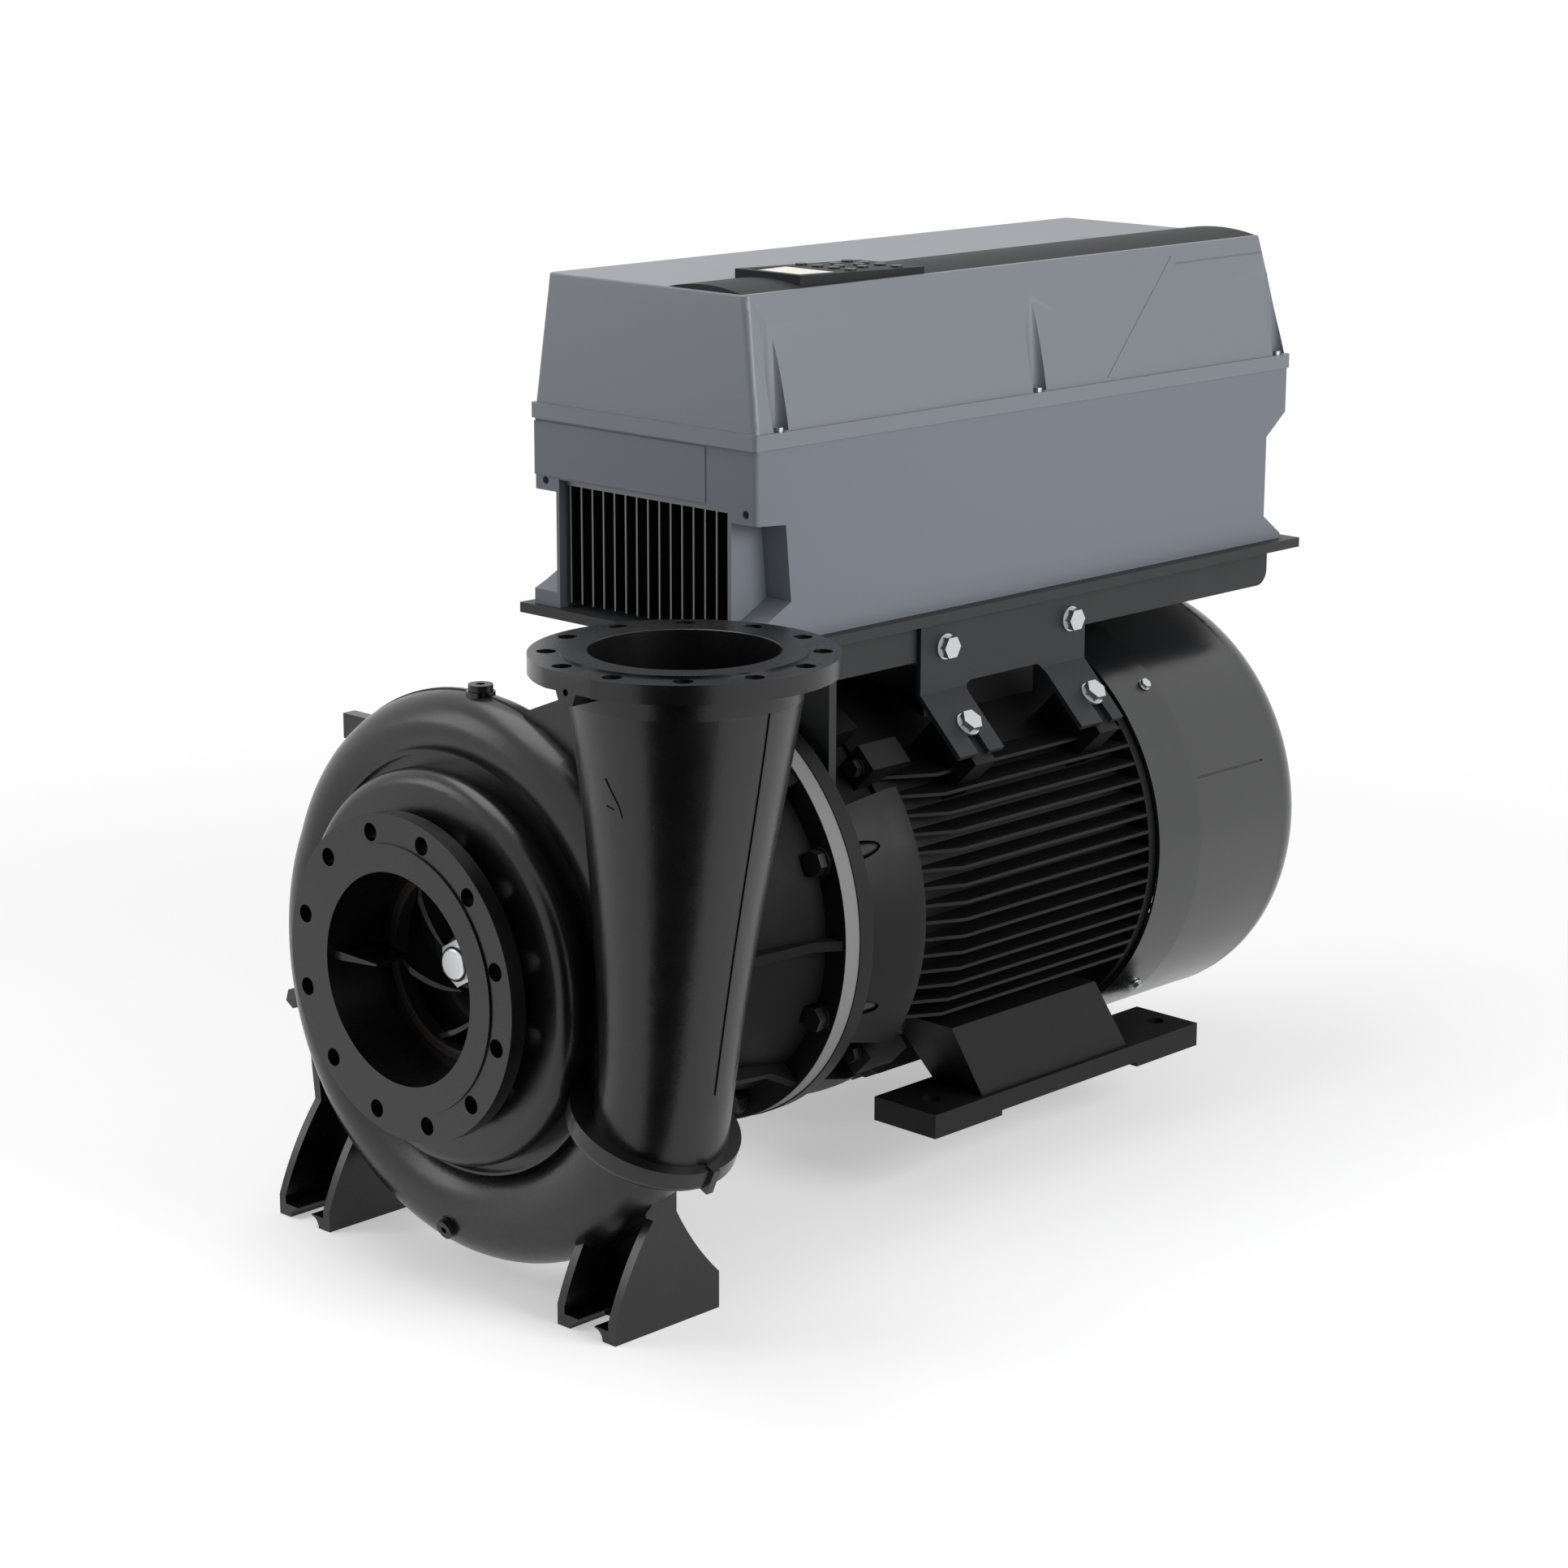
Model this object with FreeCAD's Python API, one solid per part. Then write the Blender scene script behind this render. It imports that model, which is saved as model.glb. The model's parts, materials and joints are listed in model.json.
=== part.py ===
import FreeCAD, Part
import math
import os

# Close-coupled centrifugal pump with its electric motor and the speed drive on top.
# Millimetres. The shaft lies along +Y, from the suction flange to the fan end.
# +Z is up, +X is right as seen from the suction side, and the discharge points up.
# The origin is the centre of the suction flange's face, on the shaft's axis.

os.makedirs("parts", exist_ok=True)
V = FreeCAD.Vector

# Clearances
running_gap = 0.08
seat_gap = 0.3
spigot_gap = 0.7
press_gap = 0.05
air_gap = 1.0
pocket_gap = 0.6

# Suction flange, nominal bore 300, pressure class 16
suction_bore = 300.0
suction_flange_d = 460.0
suction_pitch_d = 410.0
suction_hole_count = 12
suction_hole_d = 26.0
suction_flange_t = 28.0
suction_face_d = 378.0
face_step = 3.0

# Discharge flange, nominal bore 250, pressure class 16
discharge_bore = 250.0
discharge_bore_edge = 1.0
discharge_flange_d = 405.0
discharge_pitch_d = 355.0
discharge_hole_count = 12
discharge_hole_d = 26.0
discharge_flange_t = 28.0
discharge_face_d = 320.0
discharge_offset = 408.0
discharge_height = 500.0

# Volute casing
volute_y = 150.0
scroll_start_deg = 160.0
scroll_end_deg = 337.0
crest_r_start = 378.0
crest_r_growth = 74.0
channel_root_r = 300.0
channel_root_half = 46.0
channel_root_depth = 30.0
scroll_steps = 8
casing_wall = 12.0
throat_half = 26.0
chamber_r = 278.0
dome_r = 280.0
dome_front_y = 50.0
dome_shoulder = 22.0
neck_r = 176.0
groove_width = 16.0
groove_bottom_y = 112.0
parting_line_w = 6.0
parting_line_h = 2.0
plug_boss_depth = 22.0
plug_hole_depth = 18.0
side_plug_stand = 10.0
web_t = 12.0
lug_t = 22.0
splitter_tip_x = -80.0
splitter_root_t = 14.0
splitter_front_y = 15.0
casing_rear_y = 214.0
casing_rear_r = 312.0
casing_flange_y = 240.0
stud_depth = 20.0
casing_opening_r = 282.0

# Discharge pipe, from the collar at the end of the scroll up to the flange
collar_d = 238.0
collar_t = 34.0
collar_centre_r = 381.0
pipe_foot_d = 188.0
pipe_foot_offset = 366.0
pipe_middle_z = discharge_height - 350.0
pipe_middle_d = 225.0
pipe_upper_z = discharge_height - 210.0
pipe_upper_d = 261.0
pipe_middle_offset = 393.0
pipe_neck_z = discharge_height - 60.0
pipe_neck_d = 308.0
pipe_seam_w = 4.0
rim_flat_y = volute_y - 196.0
rim_flat_x1 = discharge_offset + 36.0
gauge_boss_x = discharge_offset - 13.0
gauge_boss_w = 38.0
gauge_boss_drop = 16.0
gauge_hole_d = 9.0
arrow_h = 1.5

# Pump feet, cast with the casing
base_drop = 450.0
foot_inner_x = 243.4
foot_outer_x = 357.7
foot_front_y = 65.8
foot_rear_y = 262.0
foot_floor_t = 18.0
foot_wall_t = 14.0
foot_slot_w = 32.0
foot_waist_y = 175.0
foot_waist_z = -276.0
foot_heel_h = 53.0

# Impeller and the parts on the pump end of the shaft
impeller_r = 262.0
impeller_eye_r = 124.0
impeller_eye_wall = 6.0
impeller_outlet_w = 34.0
shroud_t = 7.0
impeller_eye_y = 104.0
eye_bend_r = 12.0
vane_root = 2.0
impeller_hub_r = 44.0
impeller_hub_front_y = 122.0
impeller_hub_rear_y = 206.0
vane_count = 6
vane_t = 7.0
vane_wrap_deg = 105.0
vane_inlet_r = 62.0
shaft_end_d = 50.0
thread_d = 36.0
nut_across = 60.0
nut_t = 24.0
key_w = 14.0
key_h = 9.0
wear_ring_w = 20.0
wear_ring_t = 9.0

# Seal and casing cover
seal_sleeve_d = 70.0
seal_bore_d = 110.0
seal_seat_t = 14.0
seal_head_l = 40.0

# Motor stool between the pump casing and the motor flange
stool_wall = 14.0
stool_front_y = 256.0
stool_front_t = 24.0
stool_front_r = 312.0
stool_barrel_r = 232.0
stool_flange_t = 28.0
stool_flange_r = 328.0
stool_rib_t = 14.0
stool_bolt_count = 12
stool_bolt_pitch_r = 296.0
stool_bolt_d = 16.0
cover_rim_t = stool_front_y - casing_flange_y
seal_housing_rear_y = stool_front_y + 34.0
seal_face_y = seal_housing_rear_y - seal_seat_t

# Stator frame's barrel and the reach of its fins
frame_core_r = 286.0
fin_h = 42.0
frame_r = frame_core_r + fin_h

# Motor flange, 660 outside, 600 pitch circle, 550 spigot, and the drive-end shield
motor_face_y = 572.0
motor_flange_t = 27.0
motor_flange_r = 330.0
motor_pitch_r = 300.0
motor_bolt_d = 22.0
motor_bolt_count = 8
spigot_r = 275.0
spigot_h = 6.0
bolt_end = 60.0
bolt_way_r = 15.0
shield_r = frame_r - 2.0
shield_rear_y = motor_face_y + 142.0
drum_front_r = shield_r - 25.0
drum_full_y = shield_rear_y - 19.0
support_bore_r = motor_pitch_r + bolt_way_r - 1.0
ear_floor_r = shield_r - 50.0
ear_face_r = shield_r + 3.0
ear_bolt_r = shield_r - 22.0
ear_pocket_y = 618.0
ear_pocket_half = 52.0

# Stator frame's length, fins, ears and pads
frame_bore_r = frame_core_r - 24.0
frame_rear_y = shield_rear_y + 511.0
fin_pitch = 25.7
fin_t = 5.0
fin_first_z = 12.85
fin_front_y = shield_rear_y + 2.0
fin_front_taper = 84.0
side_fin_low = -7
side_fin_high = 7
bottom_fin_reach = 6
ear_w = 44.0
ear_front_y = 684.5
ear_rear_y = 763.0
ear_bolt_d = 16.0
pad_l = 44.0
pad_low = 72.0
pad_high = 26.0
top_pad_z = frame_r - 10.0

# Motor shaft and rotor
shaft_extension = 170.0
motor_shaft_front_y = motor_face_y - shaft_extension
shaft_end_motor_d = 80.0
shaft_seat_d = 95.0
shaft_body_d = 110.0
rotor_r = 190.0
core_front_y = 820.0
core_rear_y = 1130.0
winding_overhang = 78.0
winding_bore_r = 206.0
winding_outer_r = 250.0

# Bearings
de_bearing_y = 638.0
de_bearing_w = 45.0
de_bearing_r = 100.0
nde_bearing_y = 1222.0
nde_bearing_w = 39.0
nde_bearing_r = 85.0
nde_seat_d = 80.0
ball_count = 8

# Fan end
rear_shield_t = 22.0
fan_seat_d = 65.0
fan_r = frame_r - 66.0
fan_hub_r = 60.0
fan_y = frame_rear_y + 107.0
fan_l = 70.0
fan_blade_count = 9
fan_blade_t = 6.0
cowl_front_y = frame_rear_y + 15.0
cowl_front_r = frame_r + 7.0
cowl_ridge_y = fan_y + 2.0
cowl_r = cowl_front_r + 6.0
cowl_shoulder_y = fan_y + 208.0
cowl_rear_y = cowl_shoulder_y + 64.0
cowl_rear_r = cowl_r - 41.0
cowl_wall = 4.0
cowl_grille_r = 250.0
cowl_vent_r0 = 305.0
cowl_vent_r1 = 322.0
cowl_vents = ((27.0, 61.0), (-34.0, 14.0), (119.0, 34.0), (200.0, 14.0))
seam_r = 1.5
seam_deg = 17.5
seam_l = 166.0
cowl_screw_y = cowl_ridge_y - 26.0
cowl_screw_seat_r = cowl_front_r + 3.5 - cowl_wall

# Motor feet
rail_bottom_z = -frame_r - 13.0
rail_t = 37.0
rail_inner_x = 195.0
rail_w = 122.0
rail_front_y = 751.0
rail_l = 620.0
rail_relief = 8.0
rail_relief_inset = 150.0
rail_hole_x = 262.0
rail_hole_d = 28.0
rail_hole_inset_front = 51.0
rail_hole_spacing = 531.0
wedge_front_y = 865.0
wedge_rear_y = 1205.0
wedge_top_front_y = 812.0
wedge_top_rear_y = 1143.0
wedge_foot_x = 308.0
wedge_top_x = 292.0
wedge_top_z = -frame_core_r + 96.0

# Plate that carries the drive, its skirts and the support plates
plate_bottom_z = frame_r + 81.5
plate_t = 15.0
plate_top_z = plate_bottom_z + plate_t
plate_half_w = 247.0
plate_front_y = 455.0
plate_rear_y = 1690.0
skirt_x = 219.0
skirt_t = 6.0
skirt_drop = 58.0
skirt_front_y = 620.0
skirt_rear_y = 1643.0
support_y = 621.7
support_t = 14.8
support_bottom_z = shield_r - 136.0

# Side brackets
bracket_t = 8.0
bracket_front_y = 806.0
bracket_rear_y = 1178.0
bracket_top_z = plate_bottom_z - 4.5
bracket_leg_w = 97.0
bracket_window_r = 18.0
bracket_window_lift = 7.0
bracket_leg_end_x = 306.0
bracket_bolt_y_inset = 52.0
bracket_upper_bolt_z = plate_bottom_z - 40.5
bracket_lower_bolt_x = 266.3
bracket_bolt_d = 20.0
bolt_play = 1.5
bracket_front_bolt_y = bracket_front_y + bracket_bolt_y_inset
bracket_rear_bolt_y = bracket_rear_y - bracket_bolt_y_inset + 15.0
bracket_plane = (frame_core_r + 88.8) * math.sqrt(2)
pad_face_r = bracket_plane / math.sqrt(2) - bracket_t
bracket_lower_bolt_z = bracket_plane - bracket_lower_bolt_x - bracket_t * math.sqrt(2)

# Drive: lower housing, heat sink, upper cover
housing_half_w = 226.0
housing_front_y = 466.0
housing_rear_y = 1668.0
housing_waist_rear_y = 1621.0
housing_step_z = plate_top_z + 173.5
housing_top_z = plate_top_z + 273.5
housing_wall = 6.0
duct_half_w = 172.0
duct_top_z = plate_top_z + 188.5
side_notch_y = 528.0
lip_half_w = 229.0
lip_front_y = 462.0
lip_rear_y = 1675.0
lip_t = 22.0
cover_half_w = 224.0
cover_top_half_w = 198.0
cover_top_z = housing_top_z + 210.0
cover_front_y = 466.0
cover_rear_y = 1670.0
cover_top_front_y = 472.0
cover_top_rear_y = 1625.0
cover_wall = 5.0
cover_edge_r = 10.0
sink_fin_count = 15
sink_fin_t = 3.0
sink_base_t = 14.0
sink_front_y = 478.0
sink_rear_y = 1560.0
cover_screw_x = 219.0
cover_screw_d = 8.0
recess_r = 15.5
recess_foot_r = 9.0
recess_foot_h = 14.0
recess_top_z = cover_top_z - 46.0
front_hole_d = 12.0
front_hole_z = housing_top_z - 89.4
front_hole_xs = (-200.0, 206.0)
groove_r = 1.4
cover_screw_rows = ((517.0, 13.0), (1065.0, 15.0), (1648.0, 22.0))

# Inside and on the front of the drive
blank_x0 = -222.0
blank_x1 = 128.0
blank_z0 = housing_top_z - 82.0
blank_z1 = housing_top_z - 4.0
blank_t = 1.5
drive_fan_y = 1584.0
drive_fan_z = plate_top_z + 95.5
drive_fan_r = 76.0

# Band and keypad on top of the cover
band_inner_x = 45.0
band_outer_x = 190.0
band_h = 8.0
keypad_inner_x = 56.0
keypad_outer_x = 183.0
keypad_front_y = 596.0
keypad_rear_y = 852.0
display_l = 74.0
display_margin = 14.0
key_d = 17.0
key_height = 3.0
key_stem_d = 7.0
keypad_lift = 7.0
band_middle_x = (band_inner_x + band_outer_x) / 2
keypad_top_z = cover_top_z + band_h + 1.0
display_t = 3.5
display_top_z = keypad_top_z + keypad_lift * 0.66 - 0.5


def circle_wire(radius, centre, direction):
    edge = Part.makeCircle(radius, centre, direction)
    return Part.Wire([edge])


def cylinder(radius, length, base, direction=V(0, 1, 0)):
    return Part.makeCylinder(radius, length, base, direction)


def block(x0, x1, y0, y1, z0, z1):
    return Part.makeBox(x1 - x0, y1 - y0, z1 - z0, V(x0, y0, z0))


def path(points, place):
    """Closed wire: a point is (a, b), and an arc is (mid_a, mid_b, end_a, end_b)."""
    edges = []
    first = place(*points[0])
    last = first
    for item in points[1:]:
        if len(item) == 2:
            end = place(*item)
            edges.append(Part.makeLine(last, end))
        else:
            end = place(item[2], item[3])
            middle = place(item[0], item[1])
            edges.append(Part.Arc(last, middle, end).toShape())
        last = end
    if last.distanceToPoint(first) > 1e-6:
        edges.append(Part.makeLine(last, first))
    return Part.Wire(edges)


def turned(points):
    """Solid of revolution about the shaft's axis from (radius, y) points."""
    face = Part.Face(path(points, lambda r, y: V(r, y, 0)))
    return face.revolve(V(0, 0, 0), V(0, 1, 0), 360)


def ring(inner_r, outer_r, y0, y1):
    outer = cylinder(outer_r, y1 - y0, V(0, y0, 0))
    return outer.cut(cylinder(inner_r, y1 - y0 + 2, V(0, y0 - 1, 0)))


def plate_yz(points, x0, x1):
    """Plate cut to an outline of (y, z) points, between two X planes."""
    face = Part.Face(path(points, lambda y, z: V(x0, y, z)))
    return face.extrude(V(x1 - x0, 0, 0))


def plate_xz(points, y0, y1):
    """Plate cut to an outline of (x, z) points, between two Y planes."""
    face = Part.Face(path(points, lambda x, z: V(x, y0, z)))
    return face.extrude(V(0, y1 - y0, 0))


def plate_xy(points, z0, z1):
    """Plate cut to an outline of (x, y) points, between two heights."""
    face = Part.Face(path(points, lambda x, y: V(x, y, z0)))
    return face.extrude(V(0, 0, z1 - z0))


def mirrored(shape):
    return shape.mirror(V(0, 0, 0), V(1, 0, 0))


def around(shape, degrees):
    """The shape turned about the shaft's axis; positive lifts +X towards +Z."""
    copy = shape.copy()
    copy.rotate(V(0, 0, 0), V(0, 1, 0), -degrees)
    return copy


def fuse_all(shapes):
    result = shapes[0]
    if len(shapes) > 1:
        result = result.multiFuse(shapes[1:])
    return result


def hexagon(across, height, base, direction):
    """Hexagonal prism with its foot at base, standing along direction."""
    corner = across / math.sqrt(3)
    corners = []
    for i in range(6):
        angle = math.radians(60 * i + 30)
        corners.append(V(corner * math.cos(angle), corner * math.sin(angle), 0))
    wire = Part.makePolygon(corners + [corners[0]])
    prism = Part.Face(wire).extrude(V(0, 0, height))
    prism.Placement = FreeCAD.Placement(base, FreeCAD.Rotation(V(0, 0, 1), direction))
    return prism


def hex_bolt(diameter, shank, seat, direction, washer=True):
    """Bolt whose head stands off the seat along direction and whose shank goes the other way."""
    across = 1.5 * diameter
    washer_t = 0.18 * diameter if washer else 0
    solids = []
    body = hexagon(across, 0.64 * diameter, seat + direction * washer_t, direction)
    start = seat + direction * washer_t
    body = body.fuse(cylinder(diameter / 2, shank + washer_t, start, direction * -1))
    solids.append(body.removeSplitter())
    if washer:
        disc = cylinder(0.95 * diameter, washer_t, seat, direction)
        hole = cylinder(diameter / 2 + running_gap, washer_t + 2, seat - direction, direction)
        solids.append(disc.cut(hole))
    return solids


def hole_circle(count, pitch_r, hole_r, y0, y1, first_deg):
    holes = []
    for i in range(count):
        hole = cylinder(hole_r, y1 - y0, V(pitch_r, y0, 0))
        holes.append(around(hole, first_deg + 360.0 * i / count))
    return holes


nodes = {}


def save(name, solids):
    if isinstance(solids, list):
        shape = Part.makeCompound(solids)
    else:
        shape = solids
    nodes[name] = shape
    shape.exportStep("parts/" + name + ".step")


# Volute: the scroll's crest radius grows with the angle, and each section is an arc
# through the front root, the crest and the rear root, less the wall on the inside.

def crest_r(degrees):
    share = (degrees - scroll_start_deg) / (scroll_end_deg - scroll_start_deg)
    share = min(max(share, 0.0), 1.0)
    return crest_r_start + crest_r_growth * (1.25 * share - 0.25 * share * share)


def channel_section(degrees, crest, wall):
    """Closed wire of the channel's section in the radial plane at this angle."""
    root = channel_root_r - channel_root_depth
    half = channel_root_half - wall
    radial = V(math.cos(math.radians(degrees)), 0, math.sin(math.radians(degrees)))

    def place(r, y):
        return radial * r + V(0, y, 0)

    return path([
        (root, volute_y - half),
        (channel_root_r, volute_y - half),
        (crest - wall, volute_y, channel_root_r, volute_y + half),
        (root, volute_y + half),
    ], place)


def channel(wall):
    """The whole channel: the growing scroll as a loft, and the rest with a constant section."""
    sections = []
    for i in range(scroll_steps + 1):
        degrees = scroll_start_deg + (scroll_end_deg - scroll_start_deg) * i / scroll_steps
        sections.append(channel_section(degrees, crest_r(degrees), wall))
    growing = Part.makeLoft(sections, True, False)
    start = Part.Face(channel_section(scroll_end_deg, crest_r_start, wall))
    rest = start.revolve(V(0, 0, 0), V(0, 1, 0), scroll_end_deg - scroll_start_deg - 360)
    return fuse_all([rest, growing])


scroll_end_radial = V(
    math.cos(math.radians(scroll_end_deg)), 0, math.sin(math.radians(scroll_end_deg))
)
scroll_end_tangent = V(
    -math.sin(math.radians(scroll_end_deg)), 0, math.cos(math.radians(scroll_end_deg))
)
collar_centre = scroll_end_radial * collar_centre_r + V(0, volute_y, 0)
discharge_top = V(discharge_offset, volute_y, discharge_height)


def radial_at(degrees):
    return V(math.cos(math.radians(degrees)), 0, math.sin(math.radians(degrees)))


# Seat, outward direction, thread diameter and height of the hexagon of each casing plug
side_plug_seat = radial_at(200) * (crest_r(200) + side_plug_stand) + V(0, volute_y, 0)
plug_places = (
    (V(11, volute_y, crest_r_start + parting_line_h + 1.5), V(0, 0, 1), 24.0, 0),
    (V(2, volute_y - 70, -379.5), V(0, -0.947, -0.321).normalize(), 20.0, 0),
    (side_plug_seat, radial_at(200), 24.0, 25.0),
)


def pipe(wall):
    """The discharge diffuser: round sections from the collar up to the flange."""
    sections = []
    stations = [
        (collar_centre + V(8, 0, -10), pipe_foot_d, scroll_end_tangent),
        (V(pipe_foot_offset + 14, volute_y, 0), pipe_foot_d + 8, V(0.06, 0, 1)),
        (V(pipe_middle_offset, volute_y, pipe_middle_z), pipe_middle_d, V(0.05, 0, 1)),
        (V(discharge_offset - 5, volute_y, pipe_upper_z), pipe_upper_d, V(0.04, 0, 1)),
        (V(discharge_offset, volute_y, pipe_neck_z), pipe_neck_d, V(0, 0, 1)),
    ]
    for centre, diameter, direction in stations:
        radius = diameter / 2 - wall
        sections.append(circle_wire(radius, centre, direction))
    return Part.makeLoft(sections, True, False)


def foot_outline():
    """Side wall of a pump foot in (y, z), with its concave back and curved front."""
    bottom = -base_drop
    top = -150.0
    return [
        (foot_front_y, bottom),
        (foot_rear_y, bottom),
        (foot_rear_y, bottom + foot_heel_h),
        (foot_waist_y + 34, foot_waist_z - 58, foot_waist_y, foot_waist_z),
        (foot_waist_y, top),
        (foot_waist_y - 50, top),
        (foot_waist_y - 38, foot_waist_z - 14),
        (foot_front_y + 22, foot_waist_z - 92, foot_front_y, bottom + 30),
    ]


def pump_foot():
    """Channel-shaped foot at +X: two walls, a slotted floor and a web between them."""
    bottom = -base_drop
    outline = foot_outline()
    outer = plate_yz(outline, foot_outer_x - foot_wall_t, foot_outer_x)
    inner = plate_yz(outline, foot_inner_x, foot_inner_x + foot_wall_t)
    floor = block(foot_inner_x, foot_outer_x, foot_front_y, foot_rear_y, bottom,
                  bottom + foot_floor_t)
    middle_x = (foot_inner_x + foot_outer_x) / 2
    web = block(foot_inner_x, foot_outer_x, foot_waist_y - 6, foot_waist_y + 6, bottom, -230)
    slot = block(middle_x - foot_slot_w / 2, middle_x + foot_slot_w / 2, foot_front_y - 1,
                 foot_waist_y - 40, bottom - 1, bottom + foot_floor_t + 1)
    slot_end = cylinder(foot_slot_w / 2, foot_floor_t + 2,
                        V(middle_x, foot_waist_y - 40, bottom - 1), V(0, 0, 1))
    relief_r = 16.0
    foot = fuse_all([outer, inner, floor, web])
    foot = foot.cut(slot).cut(slot_end)
    for edge_x in (middle_x - foot_slot_w / 2, middle_x + foot_slot_w / 2):
        relief = cylinder(relief_r, foot_waist_y - 40 - foot_front_y,
                          V(edge_x, foot_front_y - 1, bottom))
        foot = foot.cut(relief)
    return foot


def casing_lugs():
    """Plug bosses, the web to the pipe, the lifting lug and the raised seams and arrow."""
    shapes = []
    for place, direction, diameter, _ in plug_places:
        shapes.append(cylinder(0.85 * diameter, plug_boss_depth, place, direction * -1))
    shapes.append(plate_xz([
        (95, 352), (106, 368.6), (180, 398.6), (discharge_offset - 146, discharge_height - 66),
        (discharge_offset - 108, discharge_height - 100), (300, 200), (250, 200),
    ], volute_y - web_t / 2, volute_y + web_t / 2))
    shapes.append(block(-335, -205, casing_rear_y - 2 - lug_t, casing_rear_y - 2, 250, 287))
    seam_y0 = volute_y - pipe_seam_w / 2
    seam_y1 = volute_y + pipe_seam_w / 2
    side_slab = block(discharge_offset, discharge_offset + 200, seam_y0, seam_y1, -90, pipe_neck_z)
    shapes.append(pipe(-parting_line_h).common(side_slab))
    collar_r = collar_centre_r + collar_d / 2
    shapes.append(around(block(collar_r - 30, collar_r + parting_line_h, seam_y0, seam_y1,
                               2 - collar_t, parting_line_h), scroll_end_deg))
    shapes.append(around(block(collar_r - 10, collar_r + 6, volute_y - 6, volute_y + 6,
                               -1 - collar_t, 3), scroll_end_deg))
    under_rim = discharge_height - discharge_flange_t
    shapes.append(plate_xz([
        (gauge_boss_x - gauge_boss_w / 2, under_rim + 2),
        (gauge_boss_x - gauge_boss_w / 2 + 7, under_rim - gauge_boss_drop),
        (gauge_boss_x + gauge_boss_w / 2 - 7, under_rim - gauge_boss_drop),
        (gauge_boss_x + gauge_boss_w / 2, under_rim + 2),
    ], rim_flat_y, 10))
    arrow = plate_xz([
        (401, 351), (418, 312), (402, 316), (400, 309), (428, 304), (425, 318), (407, 353),
    ], -20, 60)
    shapes.append(arrow.common(pipe(-arrow_h)))
    return shapes


def splitter_rib():
    """Tapered rib that stands into the suction passage from its left side."""
    half = splitter_root_t / 2
    wedge = plate_xz([
        (-155, 1 - half), (-155, 1 + half), (splitter_tip_x, -2), (splitter_tip_x, -5),
    ], 0, 95)
    side = plate_xy([
        (-156, splitter_front_y), (-150, splitter_front_y), (splitter_tip_x - 1, 31),
        (splitter_tip_x - 1, 92), (-156, 92),
    ], -20, 20)
    return wedge.common(side)


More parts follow.
